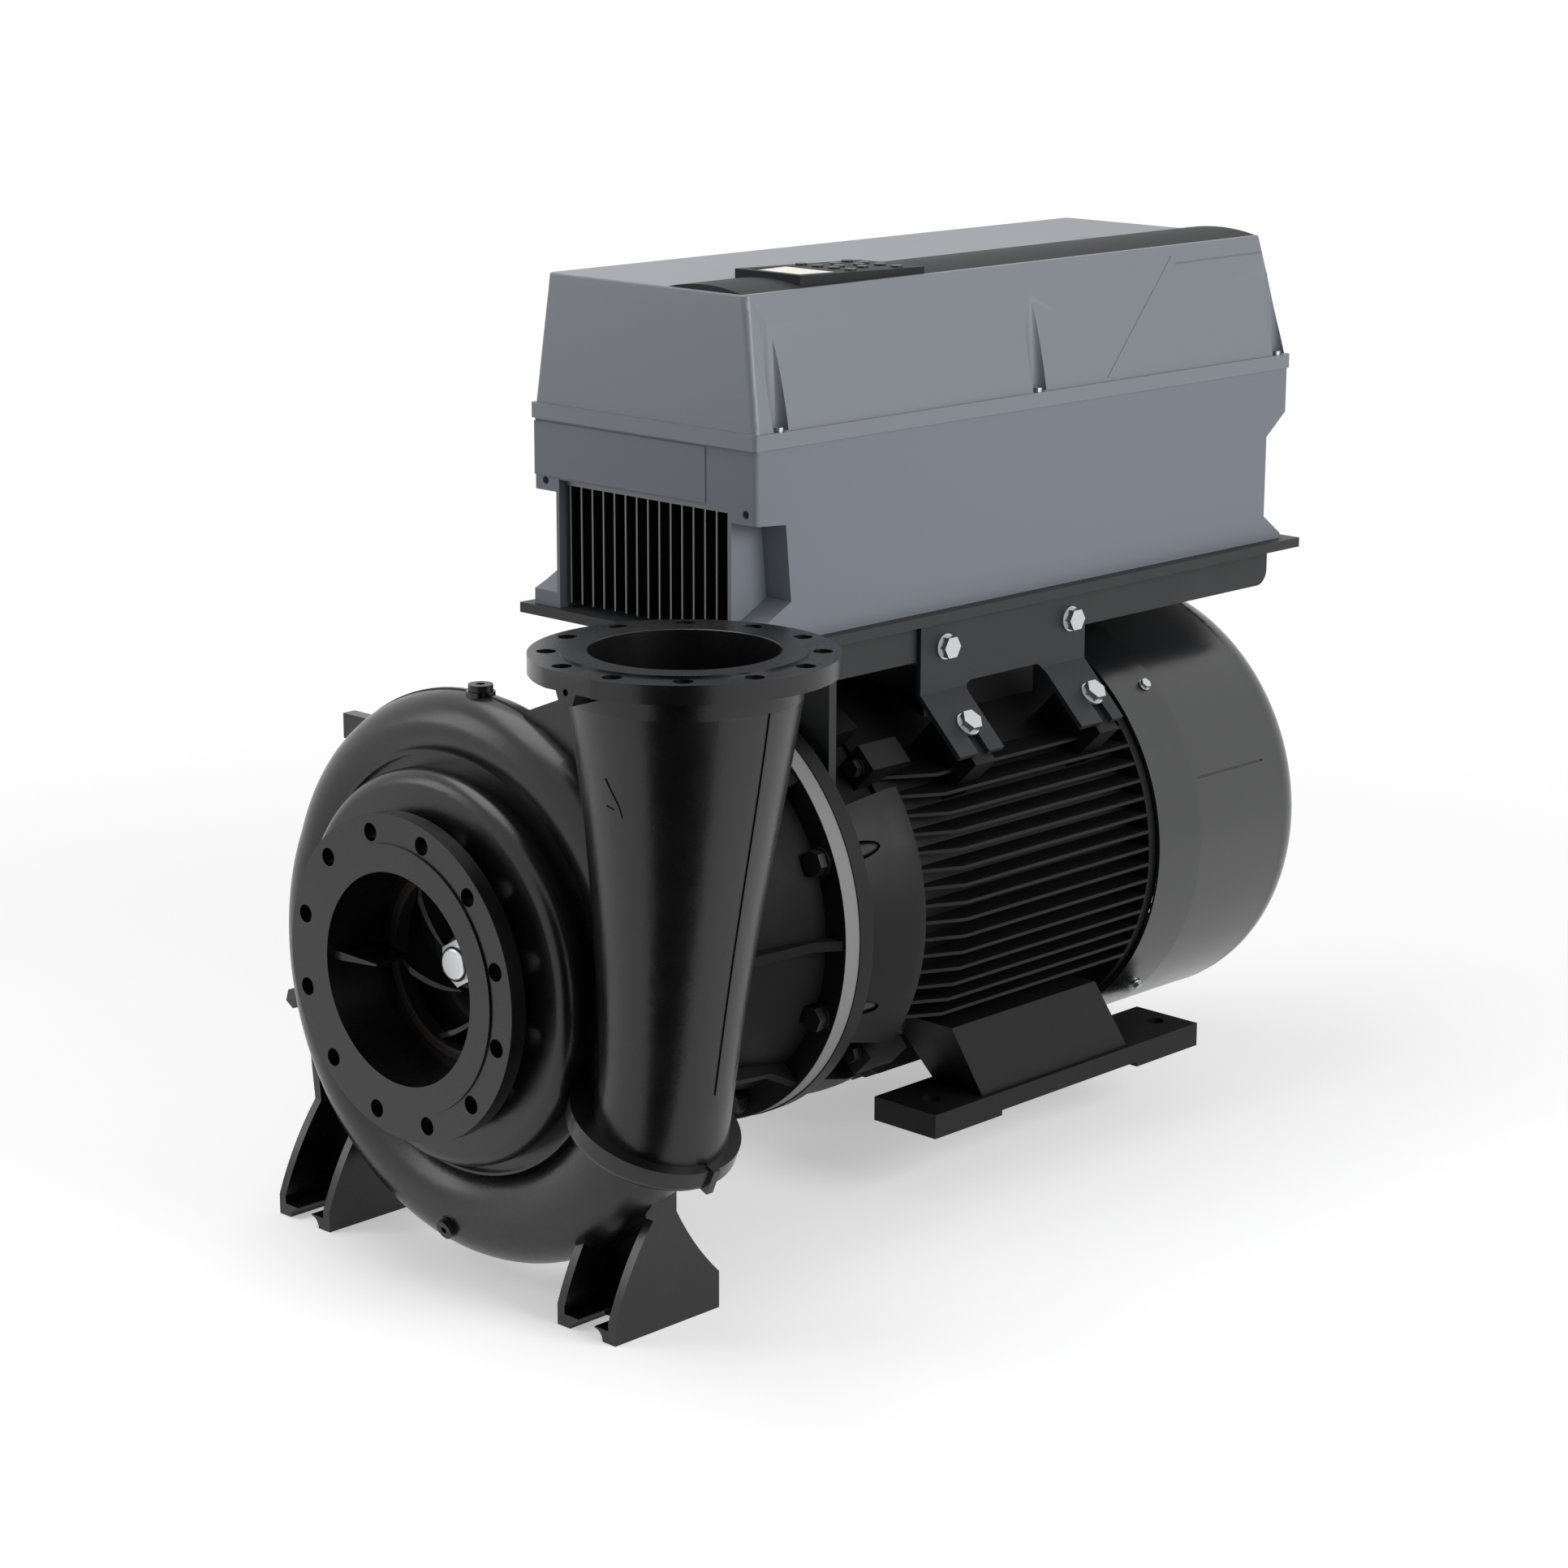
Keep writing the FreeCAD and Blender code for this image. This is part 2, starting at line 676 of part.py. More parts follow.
def volute_casing():
    neck_end_y = suction_flange_t + 4
    core_r = dome_r + groove_width - 6
    core = cylinder(core_r, casing_rear_y - suction_flange_t + 4, V(0, suction_flange_t - 4, 0))
    # Round the neck and the dome, and sink the groove between the dome and the scroll
    front_shape = turned([
        (neck_r, 0), (neck_r, neck_end_y),
        (neck_r + 5, dome_front_y - 6, neck_r + 24, dome_front_y),
        (dome_r - dome_shoulder, dome_front_y + 6),
        (dome_r - 6, dome_front_y + 14, dome_r, dome_front_y + 32),
        (dome_r, groove_bottom_y), (dome_r + groove_width, groove_bottom_y),
        (dome_r + groove_width, 0),
    ])
    body = fuse_all([core, channel(0)]).cut(front_shape)
    rear_flange = cylinder(casing_rear_r, casing_flange_y - casing_rear_y + 4,
                           V(0, casing_rear_y - 4, 0))
    flange = cylinder(suction_flange_d / 2, suction_flange_t - face_step, V(0, face_step, 0))
    raised_face = cylinder(suction_face_d / 2, face_step + 1, V(0, 0, 0))
    collar = cylinder(collar_d / 2, collar_t,
                      collar_centre - scroll_end_tangent * collar_t, scroll_end_tangent)
    collar = collar.makeFillet(12, [e for e in collar.Edges if e.Closed and
                                    e.CenterOfMass.z < collar_centre.z - 10][:1])
    rim_way = cylinder(casing_rear_r + air_gap, collar_d, V(0, casing_flange_y, 0))
    collar = collar.cut(rim_way)
    head = cylinder(discharge_flange_d / 2, discharge_flange_t - face_step,
                    discharge_top - V(0, 0, discharge_flange_t), V(0, 0, 1))
    head_face = cylinder(discharge_face_d / 2, face_step + 1,
                         discharge_top - V(0, 0, face_step + 1), V(0, 0, 1))
    neck = cylinder(pipe_neck_d / 2, discharge_height - pipe_neck_z - 8,
                    V(discharge_offset, volute_y, pipe_neck_z - 0.5), V(0, 0, 1))
    parting = ring(crest_r_start - 6, crest_r_start + parting_line_h,
                   volute_y - parting_line_w / 2, volute_y + parting_line_w / 2)
    solid = fuse_all([body, rear_flange, flange, raised_face, collar,
                      pipe(0), head, head_face, neck, parting,
                      pump_foot(), mirrored(pump_foot())])
    solid = fuse_all([solid] + casing_lugs())
    rim_flat = block(discharge_offset - 70, rim_flat_x1, rim_flat_y - 20, rim_flat_y,
                     discharge_height - discharge_flange_t - 1, discharge_height + 1)
    solid = solid.cut(rim_flat)
    # Hollow: suction passage, impeller chamber, scroll channel and diffuser
    passage = turned([
        (0, -1), (suction_bore / 2, -1), (suction_bore / 2, 12),
        (suction_bore / 2 - 4, 60, impeller_eye_r + impeller_eye_wall + wear_ring_t, 96),
        (impeller_eye_r + impeller_eye_wall + wear_ring_t, 125),
        (0, 125),
    ])
    chamber = turned([
        (0, volute_y - throat_half), (chamber_r + 10, volute_y - throat_half),
        (chamber_r + 10, volute_y + throat_half), (casing_opening_r, volute_y + throat_half),
        (casing_opening_r, casing_rear_y + 60), (0, casing_rear_y + 60),
    ])
    throat = ring(chamber_r - 20, channel_root_r + 10, volute_y - throat_half + 4,
                  volute_y + throat_half - 4)
    bore = cylinder(discharge_bore / 2, discharge_height - pipe_neck_z + 12,
                    V(discharge_offset, volute_y, pipe_neck_z - 10), V(0, 0, 1))
    # The cone is longer than the broken edge, so it crosses the bore and the face
    mouth = Part.makeCone(discharge_bore / 2 - discharge_bore_edge,
                          discharge_bore / 2 + 2 * discharge_bore_edge, 3 * discharge_bore_edge,
                          discharge_top - V(0, 0, 2 * discharge_bore_edge))
    for hollow in (passage, chamber, throat, channel(casing_wall), pipe(casing_wall), bore, mouth):
        solid = solid.cut(hollow)
    solid = solid.fuse(splitter_rib())
    holes = hole_circle(suction_hole_count, suction_pitch_d / 2, suction_hole_d / 2, -1,
                        suction_flange_t + 8, 15)
    for i in range(discharge_hole_count):
        angle = math.radians(15 + 30 * i)
        centre = discharge_top + V(discharge_pitch_d / 2 * math.cos(angle),
                                   discharge_pitch_d / 2 * math.sin(angle), 1)
        holes.append(cylinder(discharge_hole_d / 2, discharge_flange_t + 2, centre, V(0, 0, -1)))
    holes += hole_circle(stool_bolt_count, stool_bolt_pitch_r, stool_bolt_d / 2,
                         casing_flange_y - stud_depth - seat_gap, casing_flange_y + 1, 15)
    for place, direction, diameter, _ in plug_places:
        holes.append(cylinder(diameter / 2, plug_hole_depth, place, direction * -1))
    holes.append(cylinder(gauge_hole_d / 2, gauge_boss_drop,
                          V(gauge_boss_x, rim_flat_y - 1, discharge_height - discharge_flange_t)))
    return solid.cut(Part.makeCompound(holes))


def wear_ring():
    bore = impeller_eye_r + impeller_eye_wall + running_gap
    seat = impeller_eye_r + impeller_eye_wall + wear_ring_t
    return ring(bore, seat, volute_y - throat_half - wear_ring_w, volute_y - throat_half)


def vane_outline(front):
    """Closed wire of one backward-curved vane, seen along the shaft."""
    points = []
    for side in (1, -1):
        span = range(7) if side == 1 else range(6, -1, -1)
        for i in span:
            share = i / 6.0
            radius = vane_inlet_r + (impeller_r + 4 - vane_inlet_r) * share
            turn = math.log(radius / vane_inlet_r) / math.log(impeller_r / vane_inlet_r)
            angle = -math.radians(vane_wrap_deg) * turn
            angle += side * vane_t / 2 / radius * (1.6 if share > 0 else 0.5)
            points.append(V(radius * math.cos(angle), front, radius * math.sin(angle)))
    one = Part.BSplineCurve()
    one.interpolate(points[:7])
    other = Part.BSplineCurve()
    other.interpolate(points[7:])
    edges = [one.toShape(), Part.makeLine(points[6], points[7]), other.toShape(),
             Part.makeLine(points[13], points[0])]
    return Part.Wire(edges)


def impeller():
    inner_y = volute_y - impeller_outlet_w / 2
    outer_y = volute_y + impeller_outlet_w / 2
    eye_outer = impeller_eye_r + impeller_eye_wall
    bend_mid = eye_bend_r * (1 - math.sqrt(0.5))
    front_shroud = turned([
        (impeller_eye_r, impeller_eye_y), (eye_outer, impeller_eye_y),
        (eye_outer, inner_y - shroud_t), (impeller_r, inner_y - shroud_t),
        (impeller_r, inner_y), (impeller_eye_r + eye_bend_r, inner_y),
        (impeller_eye_r + bend_mid, inner_y - bend_mid, impeller_eye_r, inner_y - eye_bend_r),
    ])
    back_shroud = turned([
        (shaft_end_d / 2 + press_gap, impeller_hub_front_y), (38, impeller_hub_front_y),
        (56, volute_y, 112, outer_y - 2), (impeller_r, outer_y), (impeller_r, outer_y + shroud_t),
        (impeller_hub_r + 16, outer_y + shroud_t), (impeller_hub_r, outer_y + shroud_t + 8),
        (impeller_hub_r, impeller_hub_rear_y), (shaft_end_d / 2 + press_gap, impeller_hub_rear_y),
    ])
    passage = turned([
        (44, volute_y + 2), (vane_inlet_r + 50, volute_y - 38),
        (impeller_eye_r + vane_root, volute_y - 38),
        (impeller_eye_r + vane_root, inner_y - eye_bend_r),
        (impeller_eye_r + bend_mid + 0.7 * vane_root, inner_y - bend_mid - 0.7 * vane_root,
         impeller_eye_r + eye_bend_r, inner_y - vane_root),
        (impeller_r - 1, inner_y - vane_root), (impeller_r - 1, outer_y + vane_root),
        (100, outer_y + vane_root), (44, volute_y + 12),
    ])
    blade = Part.Face(vane_outline(volute_y - 45)).extrude(V(0, 75, 0)).common(passage)
    blades = [around(blade, 360.0 * i / vane_count) for i in range(vane_count)]
    wheel = fuse_all([front_shroud, back_shroud] + blades)
    return wheel.cut(key_slot(0))


def key_slot(clearance):
    half = key_w / 2 + clearance
    return block(-half, half, impeller_hub_front_y + 14, impeller_hub_rear_y - 8,
                 shaft_end_d / 2 - key_h / 2 - clearance, shaft_end_d / 2 + key_h / 2 + clearance)


def impeller_nut():
    forward = V(0, -1, 0)
    seat = V(0, impeller_hub_front_y, 0)
    nut = hexagon(nut_across, nut_t * 0.6, seat, forward)
    cap = cylinder(nut_across * 0.42, nut_t, seat, forward)
    cap = cap.makeFillet(6, [e for e in cap.Edges if e.Closed and
                             e.CenterOfMass.y < impeller_hub_front_y - 1])
    thread = cylinder(thread_d / 2 + running_gap, nut_t * 0.7 + 1, seat - forward, forward)
    return nut.fuse(cap).cut(thread)


def stub_shaft():
    bore = shaft_end_motor_d / 2 + press_gap
    sleeve_r = shaft_end_motor_d / 2 + 18
    shaft = turned([
        (0, impeller_hub_front_y - nut_t * 0.65), (thread_d / 2, impeller_hub_front_y - nut_t * 0.65),
        (thread_d / 2, impeller_hub_front_y + 4), (shaft_end_d / 2, impeller_hub_front_y + 4),
        (shaft_end_d / 2, impeller_hub_rear_y), (seal_sleeve_d / 2, impeller_hub_rear_y),
        (seal_sleeve_d / 2, motor_shaft_front_y - 60), (sleeve_r, motor_shaft_front_y - 30),
        (sleeve_r, motor_face_y - 24), (bore, motor_face_y - 24), (bore, motor_shaft_front_y),
        (0, motor_shaft_front_y),
    ])
    return shaft.cut(key_slot(0))


def casing_cover():
    seal_r = seal_bore_d / 2
    front = volute_y + throat_half + 2
    rim_front = casing_flange_y
    cover = turned([
        (seal_r, front + 32), (seal_r, stool_front_y + 34), (seal_r + 20, stool_front_y + 34),
        (seal_r + 20, front + 28), (casing_opening_r - 20, front + 28),
        (casing_opening_r - 20, rim_front + cover_rim_t), (casing_rear_r, rim_front + cover_rim_t),
        (casing_rear_r, rim_front), (casing_opening_r - spigot_gap, rim_front),
        (casing_opening_r - spigot_gap, front), (110, front), (110, front + 32),
    ])
    holes = hole_circle(stool_bolt_count, stool_bolt_pitch_r, stool_bolt_d / 2 + seat_gap,
                        rim_front - 1, rim_front + cover_rim_t + 1, 15)
    return cover.cut(Part.makeCompound(holes))


def seal_seat():
    return ring(seal_sleeve_d / 2 + 1.0, seal_bore_d / 2, seal_face_y, seal_face_y + seal_seat_t)


def seal_head():
    bore = seal_sleeve_d / 2
    face = seal_face_y - 0.1
    return turned([
        (bore, face - seal_head_l), (bore + 12, face - seal_head_l), (bore + 12, face - 12),
        (bore + 9, face - 12), (bore + 9, face), (bore, face),
    ])


def motor_stool():
    front = stool_front_y
    rear = motor_face_y - stool_flange_t
    barrel_rear_r = spigot_r + 14
    shell = turned([
        (casing_opening_r - 20, front), (stool_front_r, front), (stool_front_r, front + stool_front_t),
        (stool_barrel_r + stool_wall, front + stool_front_t + 14),
        (barrel_rear_r, rear), (stool_flange_r, rear), (stool_flange_r, motor_face_y),
        (spigot_r + spigot_gap, motor_face_y), (spigot_r + spigot_gap, rear),
        (barrel_rear_r - stool_wall, rear - 8),
        (stool_barrel_r, front + stool_front_t + 6), (stool_barrel_r, front),
    ])
    rib = plate_yz([
        (front + stool_front_t, stool_barrel_r + 4), (front + stool_front_t, stool_front_r - 34),
        (rear - 34, stool_flange_r - 30), (rear, stool_flange_r - 6), (rear, barrel_rear_r - 8),
    ], -stool_rib_t / 2, stool_rib_t / 2)
    ribs = [around(rib, 45.0 * i - 90) for i in range(8)]
    body = fuse_all([shell] + ribs)
    holes = hole_circle(motor_bolt_count, motor_pitch_r, motor_bolt_d / 2 + pocket_gap,
                        rear - 1, motor_face_y + 1, 22.5)
    spots = hole_circle(motor_bolt_count, motor_pitch_r, motor_bolt_d * 0.98, rear - 24, rear, 22.5)
    holes += hole_circle(stool_bolt_count, stool_bolt_pitch_r, stool_bolt_d / 2 + seat_gap,
                         front - 1, front + stool_front_t + 1, 15)
    tool_ways = hole_circle(stool_bolt_count, stool_bolt_pitch_r, stool_bolt_d * 0.98,
                            front + stool_front_t, front + stool_front_t + 22, 15)
    return body.cut(Part.makeCompound(holes + spots + tool_ways))


def casing_bolts():
    bolts = []
    seat = V(stool_bolt_pitch_r, stool_front_y + stool_front_t, 0)
    for i in range(stool_bolt_count):
        for solid in hex_bolt(stool_bolt_d, stool_front_t + cover_rim_t + stud_depth, seat, V(0, 1, 0)):
            bolts.append(around(solid, 15 + 360.0 * i / stool_bolt_count))
    return bolts


def flange_bolts():
    bolts = []
    seat = V(motor_pitch_r, motor_face_y - stool_flange_t, 0)
    for i in range(motor_bolt_count):
        for solid in hex_bolt(motor_bolt_d, stool_flange_t + motor_flange_t + bolt_end, seat, V(0, -1, 0)):
            bolts.append(around(solid, 22.5 + 360.0 * i / motor_bolt_count))
    return bolts


def drive_end_shield():
    hub_r = de_bearing_r + 26
    drum_inner_r = shield_r - 58
    flange_rear = motor_face_y + motor_flange_t
    body = turned([
        (de_bearing_r, de_bearing_y), (de_bearing_r, de_bearing_y + de_bearing_w + 4),
        (hub_r, de_bearing_y + de_bearing_w + 4), (hub_r, de_bearing_y + 12),
        (drum_inner_r - 14, de_bearing_y + 12), (drum_inner_r, de_bearing_y + 26),
        (drum_inner_r, shield_rear_y), (shield_r, shield_rear_y), (shield_r, drum_full_y),
        (drum_front_r, flange_rear),
        (motor_flange_r, flange_rear), (motor_flange_r, motor_face_y), (spigot_r, motor_face_y),
        (spigot_r, motor_face_y - spigot_h), (spigot_r - 14, motor_face_y - spigot_h),
        (spigot_r - 30, motor_face_y + 18), (hub_r, de_bearing_y - 12),
        (shaft_seat_d / 2 + 6, de_bearing_y - 12), (shaft_seat_d / 2 + 6, de_bearing_y),
    ])
    cuts = hole_circle(motor_bolt_count, motor_pitch_r, motor_bolt_d / 2, motor_face_y - 1,
                       flange_rear, 22.5)
    for i in range(motor_bolt_count):
        way = cylinder(bolt_way_r, bolt_end + 4, V(motor_pitch_r, flange_rear, 0))
        cuts.append(around(way, 22.5 + 45.0 * i))
    pocket = block(ear_floor_r, shield_r + 20, ear_pocket_y, shield_rear_y + 1,
                   -ear_pocket_half, ear_pocket_half)
    for i in range(4):
        cuts.append(around(pocket, 45 + 90.0 * i))
    body = body.cut(Part.makeCompound(cuts))
    ear = block(ear_floor_r - 6, ear_face_r, ear_front_y, shield_rear_y, -ear_w / 2, ear_w / 2)
    ears = [around(ear, 45 + 90.0 * i) for i in range(4)]
    body = fuse_all([body] + ears)
    holes = hole_circle(4, ear_bolt_r, ear_bolt_d / 2 + seat_gap, ear_front_y - 1,
                        shield_rear_y + 1, 45)
    return body.cut(Part.makeCompound(holes))


def ear_bolts():
    bolts = []
    seat = V(ear_bolt_r, ear_front_y, 0)
    for i in range(4):
        length = ear_rear_y - ear_front_y - 6
        for solid in hex_bolt(ear_bolt_d, length, seat, V(0, -1, 0)):
            bolts.append(around(solid, 45 + 90.0 * i))
    return bolts


def side_fins():
    fins = []
    for k in range(side_fin_low, side_fin_high + 1):
        z = fin_first_z + fin_pitch * k
        reach = math.sqrt(frame_r ** 2 - z ** 2)
        root = math.sqrt(frame_core_r ** 2 - z ** 2) - 4
        outline = [
            (root, fin_front_y), (root + 6, fin_front_y), (reach, fin_front_y + fin_front_taper),
            (reach, frame_rear_y), (root, frame_rear_y),
        ]
        fin = plate_xy(outline, z - fin_t / 2, z + fin_t / 2)
        fins.append(fin)
        fins.append(mirrored(fin))
    return fins


def bottom_fins():
    fins = []
    for k in range(-bottom_fin_reach, bottom_fin_reach + 1):
        x = fin_pitch * k
        reach = math.sqrt(frame_r ** 2 - x ** 2)
        root = math.sqrt(frame_core_r ** 2 - x ** 2) - 4
        outline = [
            (fin_front_y, -root), (frame_rear_y, -root), (frame_rear_y, -reach),
            (fin_front_y + fin_front_taper, -reach), (fin_front_y, -root - 6),
        ]
        fins.append(plate_yz(outline, x - fin_t / 2, x + fin_t / 2))
    return fins


def stator_frame():
    barrel = ring(frame_bore_r, frame_core_r, shield_rear_y, frame_rear_y)
    ear = block(frame_core_r - 6, ear_face_r, shield_rear_y, ear_rear_y, -ear_w / 2, ear_w / 2)
    ears = [around(ear, 45 + 90.0 * i) for i in range(4)]
    pads = []
    for y in (bracket_front_bolt_y, bracket_rear_bolt_y):
        pad = block(frame_core_r - 8, pad_face_r, y - pad_l / 2, y + pad_l / 2, -pad_low, pad_high)
        pads.append(around(pad, 45))
        pads.append(mirrored(around(pad, 45)))
    top_pad = block(-150, 150, 900, 1150, 240, top_pad_z)
    bore = cylinder(frame_bore_r, 600, V(0, shield_rear_y - 10, 0))
    body = fuse_all([barrel] + ears + pads + side_fins() + bottom_fins() + [top_pad.cut(bore)])
    holes = hole_circle(4, ear_bolt_r, ear_bolt_d / 2, shield_rear_y - 1, ear_rear_y + 1, 45)
    for y in (bracket_front_bolt_y, bracket_rear_bolt_y):
        for side in (1, -1):
            base = V(side * bracket_lower_bolt_x, y, bracket_lower_bolt_z)
            outward = V(side, 0, 1).normalize()
            holes.append(cylinder(bracket_bolt_d / 2, 40, base + outward * 2, outward * -1))
    return body.cut(Part.makeCompound(holes))


def stator_core():
    return ring(rotor_r + air_gap, frame_bore_r, core_front_y, core_rear_y)


def stator_windings():
    coils = []
    for y0, y1 in ((core_front_y - winding_overhang, core_front_y),
                   (core_rear_y, core_rear_y + winding_overhang)):
        coil = ring(winding_bore_r, winding_outer_r, y0, y1)
        coils.append(coil)
    return coils


def rotor_core():
    stack = ring(shaft_body_d / 2, rotor_r, core_front_y, core_rear_y)
    front_ring = ring(rotor_r - 44, rotor_r - 6, core_front_y - 26, core_front_y)
    rear_ring = ring(rotor_r - 44, rotor_r - 6, core_rear_y, core_rear_y + 26)
    return fuse_all([stack, front_ring, rear_ring])


def motor_shaft():
    end_y = fan_y + fan_l + 10
    return turned([
        (0, motor_shaft_front_y), (shaft_end_motor_d / 2, motor_shaft_front_y),
        (shaft_end_motor_d / 2, de_bearing_y - 20), (shaft_seat_d / 2, de_bearing_y - 20),
        (shaft_seat_d / 2, de_bearing_y + de_bearing_w), (shaft_body_d / 2, de_bearing_y + de_bearing_w),
        (shaft_body_d / 2, nde_bearing_y), (nde_seat_d / 2, nde_bearing_y),
        (nde_seat_d / 2, nde_bearing_y + nde_bearing_w + 12),
        (fan_seat_d / 2, nde_bearing_y + nde_bearing_w + 12), (fan_seat_d / 2, end_y), (0, end_y),
    ])


def bearing(bore_r, outer_r, y, width):
    """Outer ring, inner ring and balls of a deep-groove ball bearing."""
    ring_t = 0.27 * (outer_r - bore_r)
    pitch_r = (outer_r + bore_r) / 2
    ball_r = 0.27 * (outer_r - bore_r)
    middle = y + width / 2
    groove = Part.makeTorus(pitch_r, ball_r + running_gap, V(0, middle, 0), V(0, 1, 0))
    outer = ring(outer_r - ring_t, outer_r, y, y + width).cut(groove)
    inner = ring(bore_r, bore_r + ring_t, y, y + width).cut(groove)
    ball = Part.makeSphere(ball_r, V(pitch_r, middle, 0))
    balls = [around(ball, 360.0 * i / ball_count) for i in range(ball_count)]
    return outer, inner, balls


def non_drive_end_shield():
    hub_r = nde_bearing_r + 20
    inner_y = frame_rear_y
    outer_y = frame_rear_y + rear_shield_t
    body = turned([
        (nde_bearing_r, nde_bearing_y), (nde_bearing_r, nde_bearing_y + nde_bearing_w),
        (nde_seat_d / 2 + 3, nde_bearing_y + nde_bearing_w),
        (nde_seat_d / 2 + 3, nde_bearing_y + nde_bearing_w + 8),
        (hub_r, nde_bearing_y + nde_bearing_w + 8), (hub_r + 10, outer_y), (frame_r - 2, outer_y),
        (frame_r - 2, inner_y), (frame_bore_r, inner_y), (frame_bore_r, inner_y - 5),
        (frame_bore_r - 14, inner_y - 5), (frame_bore_r - 14, inner_y), (hub_r, inner_y),
        (hub_r, nde_bearing_y),
    ])
    lug = block(cowl_front_r - cowl_wall - 32, cowl_screw_seat_r, outer_y - 4, cowl_screw_y + 16, -18, 18)
    under_cowl = turned([
        (0, cowl_front_y - 10), (cowl_front_r - cowl_wall - spigot_gap, cowl_front_y - 10),
        (cowl_front_r - cowl_wall - spigot_gap, cowl_front_y),
        (cowl_r - cowl_wall - spigot_gap, cowl_ridge_y), (0, cowl_ridge_y),
    ])
    lugs = [around(lug.common(under_cowl), 45 + 90.0 * i) for i in range(4)]
    body = fuse_all([body] + lugs)
    holes = []
    for i in range(4):
        hole = cylinder(5.0, 40, V(cowl_screw_seat_r + 2, cowl_screw_y, 0), V(-1, 0, 0))
        holes.append(around(hole, 45 + 90.0 * i))
    return body.cut(Part.makeCompound(holes))


def cooling_fan():
    hub = ring(fan_seat_d / 2, fan_hub_r, fan_y, fan_y + fan_l)
    disc = ring(fan_seat_d / 2, fan_r - 40, fan_y, fan_y + 6)
    blade = block(fan_hub_r - 4, fan_r, fan_y, fan_y + fan_l, -fan_blade_t / 2, fan_blade_t / 2)
    blades = [around(blade, 360.0 * i / fan_blade_count) for i in range(fan_blade_count)]
    return fuse_all([hub, disc] + blades)


def fan_cowl():
    wall = cowl_wall
    shell = turned([
        (cowl_front_r, cowl_front_y), (cowl_r, cowl_ridge_y), (cowl_r, cowl_shoulder_y),
        (cowl_r - 10, cowl_rear_y - 22, cowl_rear_r, cowl_rear_y), (0, cowl_rear_y),
        (0, cowl_rear_y - wall), (cowl_rear_r - 2, cowl_rear_y - wall),
        (cowl_r - 10 - wall, cowl_rear_y - 24, cowl_r - wall, cowl_shoulder_y),
        (cowl_r - wall, cowl_ridge_y), (cowl_front_r - wall, cowl_front_y),
    ])
    slots = []
    slot_pitch = 22.0
    slot_w = 12.0
    inner_r = 70.0
    while inner_r + slot_w < cowl_grille_r:
        slots.append(ring(inner_r, inner_r + slot_w, cowl_rear_y - wall - 2, cowl_rear_y + 2))
        inner_r += slot_pitch
    spokes = []
    for i in range(6):
        spoke = block(40, cowl_rear_r, cowl_rear_y - wall - 4, cowl_rear_y + 4, -7, 7)
        spokes.append(around(spoke, 60.0 * i))
    grille = Part.makeCompound(slots).cut(Part.makeCompound(spokes))
    shell = shell.cut(grille)
    section = Part.Face(path([
        (cowl_vent_r0, cowl_rear_y - 40), (cowl_vent_r1, cowl_rear_y - 40),
        (cowl_vent_r1, cowl_rear_y + 5), (cowl_vent_r0, cowl_rear_y + 5),
    ], lambda r, y: V(r, y, 0)))
    for start_deg, span_deg in cowl_vents:
        vent = around(section, start_deg).revolve(V(0, 0, 0), V(0, -1, 0), span_deg)
        shell = shell.cut(vent)
    seam_base = radial_at(seam_deg) * cowl_r + V(0, cowl_ridge_y + 6, 0)
    shell = shell.cut(cylinder(seam_r, seam_l, seam_base))
    holes = []
    for i in range(4):
        hole = cylinder(5.5, 30, V(cowl_front_r - 15, cowl_screw_y, 0), V(1, 0, 0))
        holes.append(around(hole, 45 + 90.0 * i))
    return shell.cut(Part.makeCompound(holes))


def cowl_screws():
    screws = []
    seat = V(cowl_screw_seat_r + cowl_wall + 1.8, cowl_screw_y, 0)
    for i in range(4):
        for solid in hex_bolt(10, 26, seat, V(1, 0, 0)):
            screws.append(around(solid, 45 + 90.0 * i))
    return screws


def motor_foot():
    """Foot at +X: a long relieved rail and the leaning block that joins it to the frame."""
    top = rail_bottom_z + rail_t
    rail = block(rail_inner_x, rail_inner_x + rail_w, rail_front_y, rail_front_y + rail_l,
                 rail_bottom_z, top)
    relief = block(rail_inner_x - 1, rail_inner_x + rail_w + 1, rail_front_y + rail_relief_inset,
                   rail_front_y + rail_l - rail_relief_inset, rail_bottom_z - 1,
                   rail_bottom_z + rail_relief)
    lower = Part.makePolygon([
        V(rail_inner_x + 20, wedge_front_y, top), V(wedge_foot_x, wedge_front_y, top),
        V(wedge_foot_x, wedge_rear_y, top), V(rail_inner_x + 20, wedge_rear_y, top),
        V(rail_inner_x + 20, wedge_front_y, top)])
    upper = Part.makePolygon([
        V(rail_inner_x - 30, wedge_top_front_y, wedge_top_z), V(wedge_top_x, wedge_top_front_y, wedge_top_z),
        V(wedge_top_x, wedge_top_rear_y, wedge_top_z), V(rail_inner_x - 30, wedge_top_rear_y, wedge_top_z),
        V(rail_inner_x - 30, wedge_top_front_y, wedge_top_z)])
    wedge = Part.makeLoft([lower, upper], True, True)
    wedge = wedge.cut(cylinder(frame_core_r, 700, V(0, rail_front_y - 40, 0)))
    foot = fuse_all([rail, wedge]).cut(relief)
    holes = []
    for y in (rail_front_y + rail_hole_inset_front,
              rail_front_y + rail_hole_inset_front + rail_hole_spacing):
        base = V(rail_hole_x, y, rail_bottom_z - 1)
        holes.append(cylinder(rail_hole_d / 2, rail_t + 2, base, V(0, 0, 1)))
    return foot.cut(Part.makeCompound(holes))


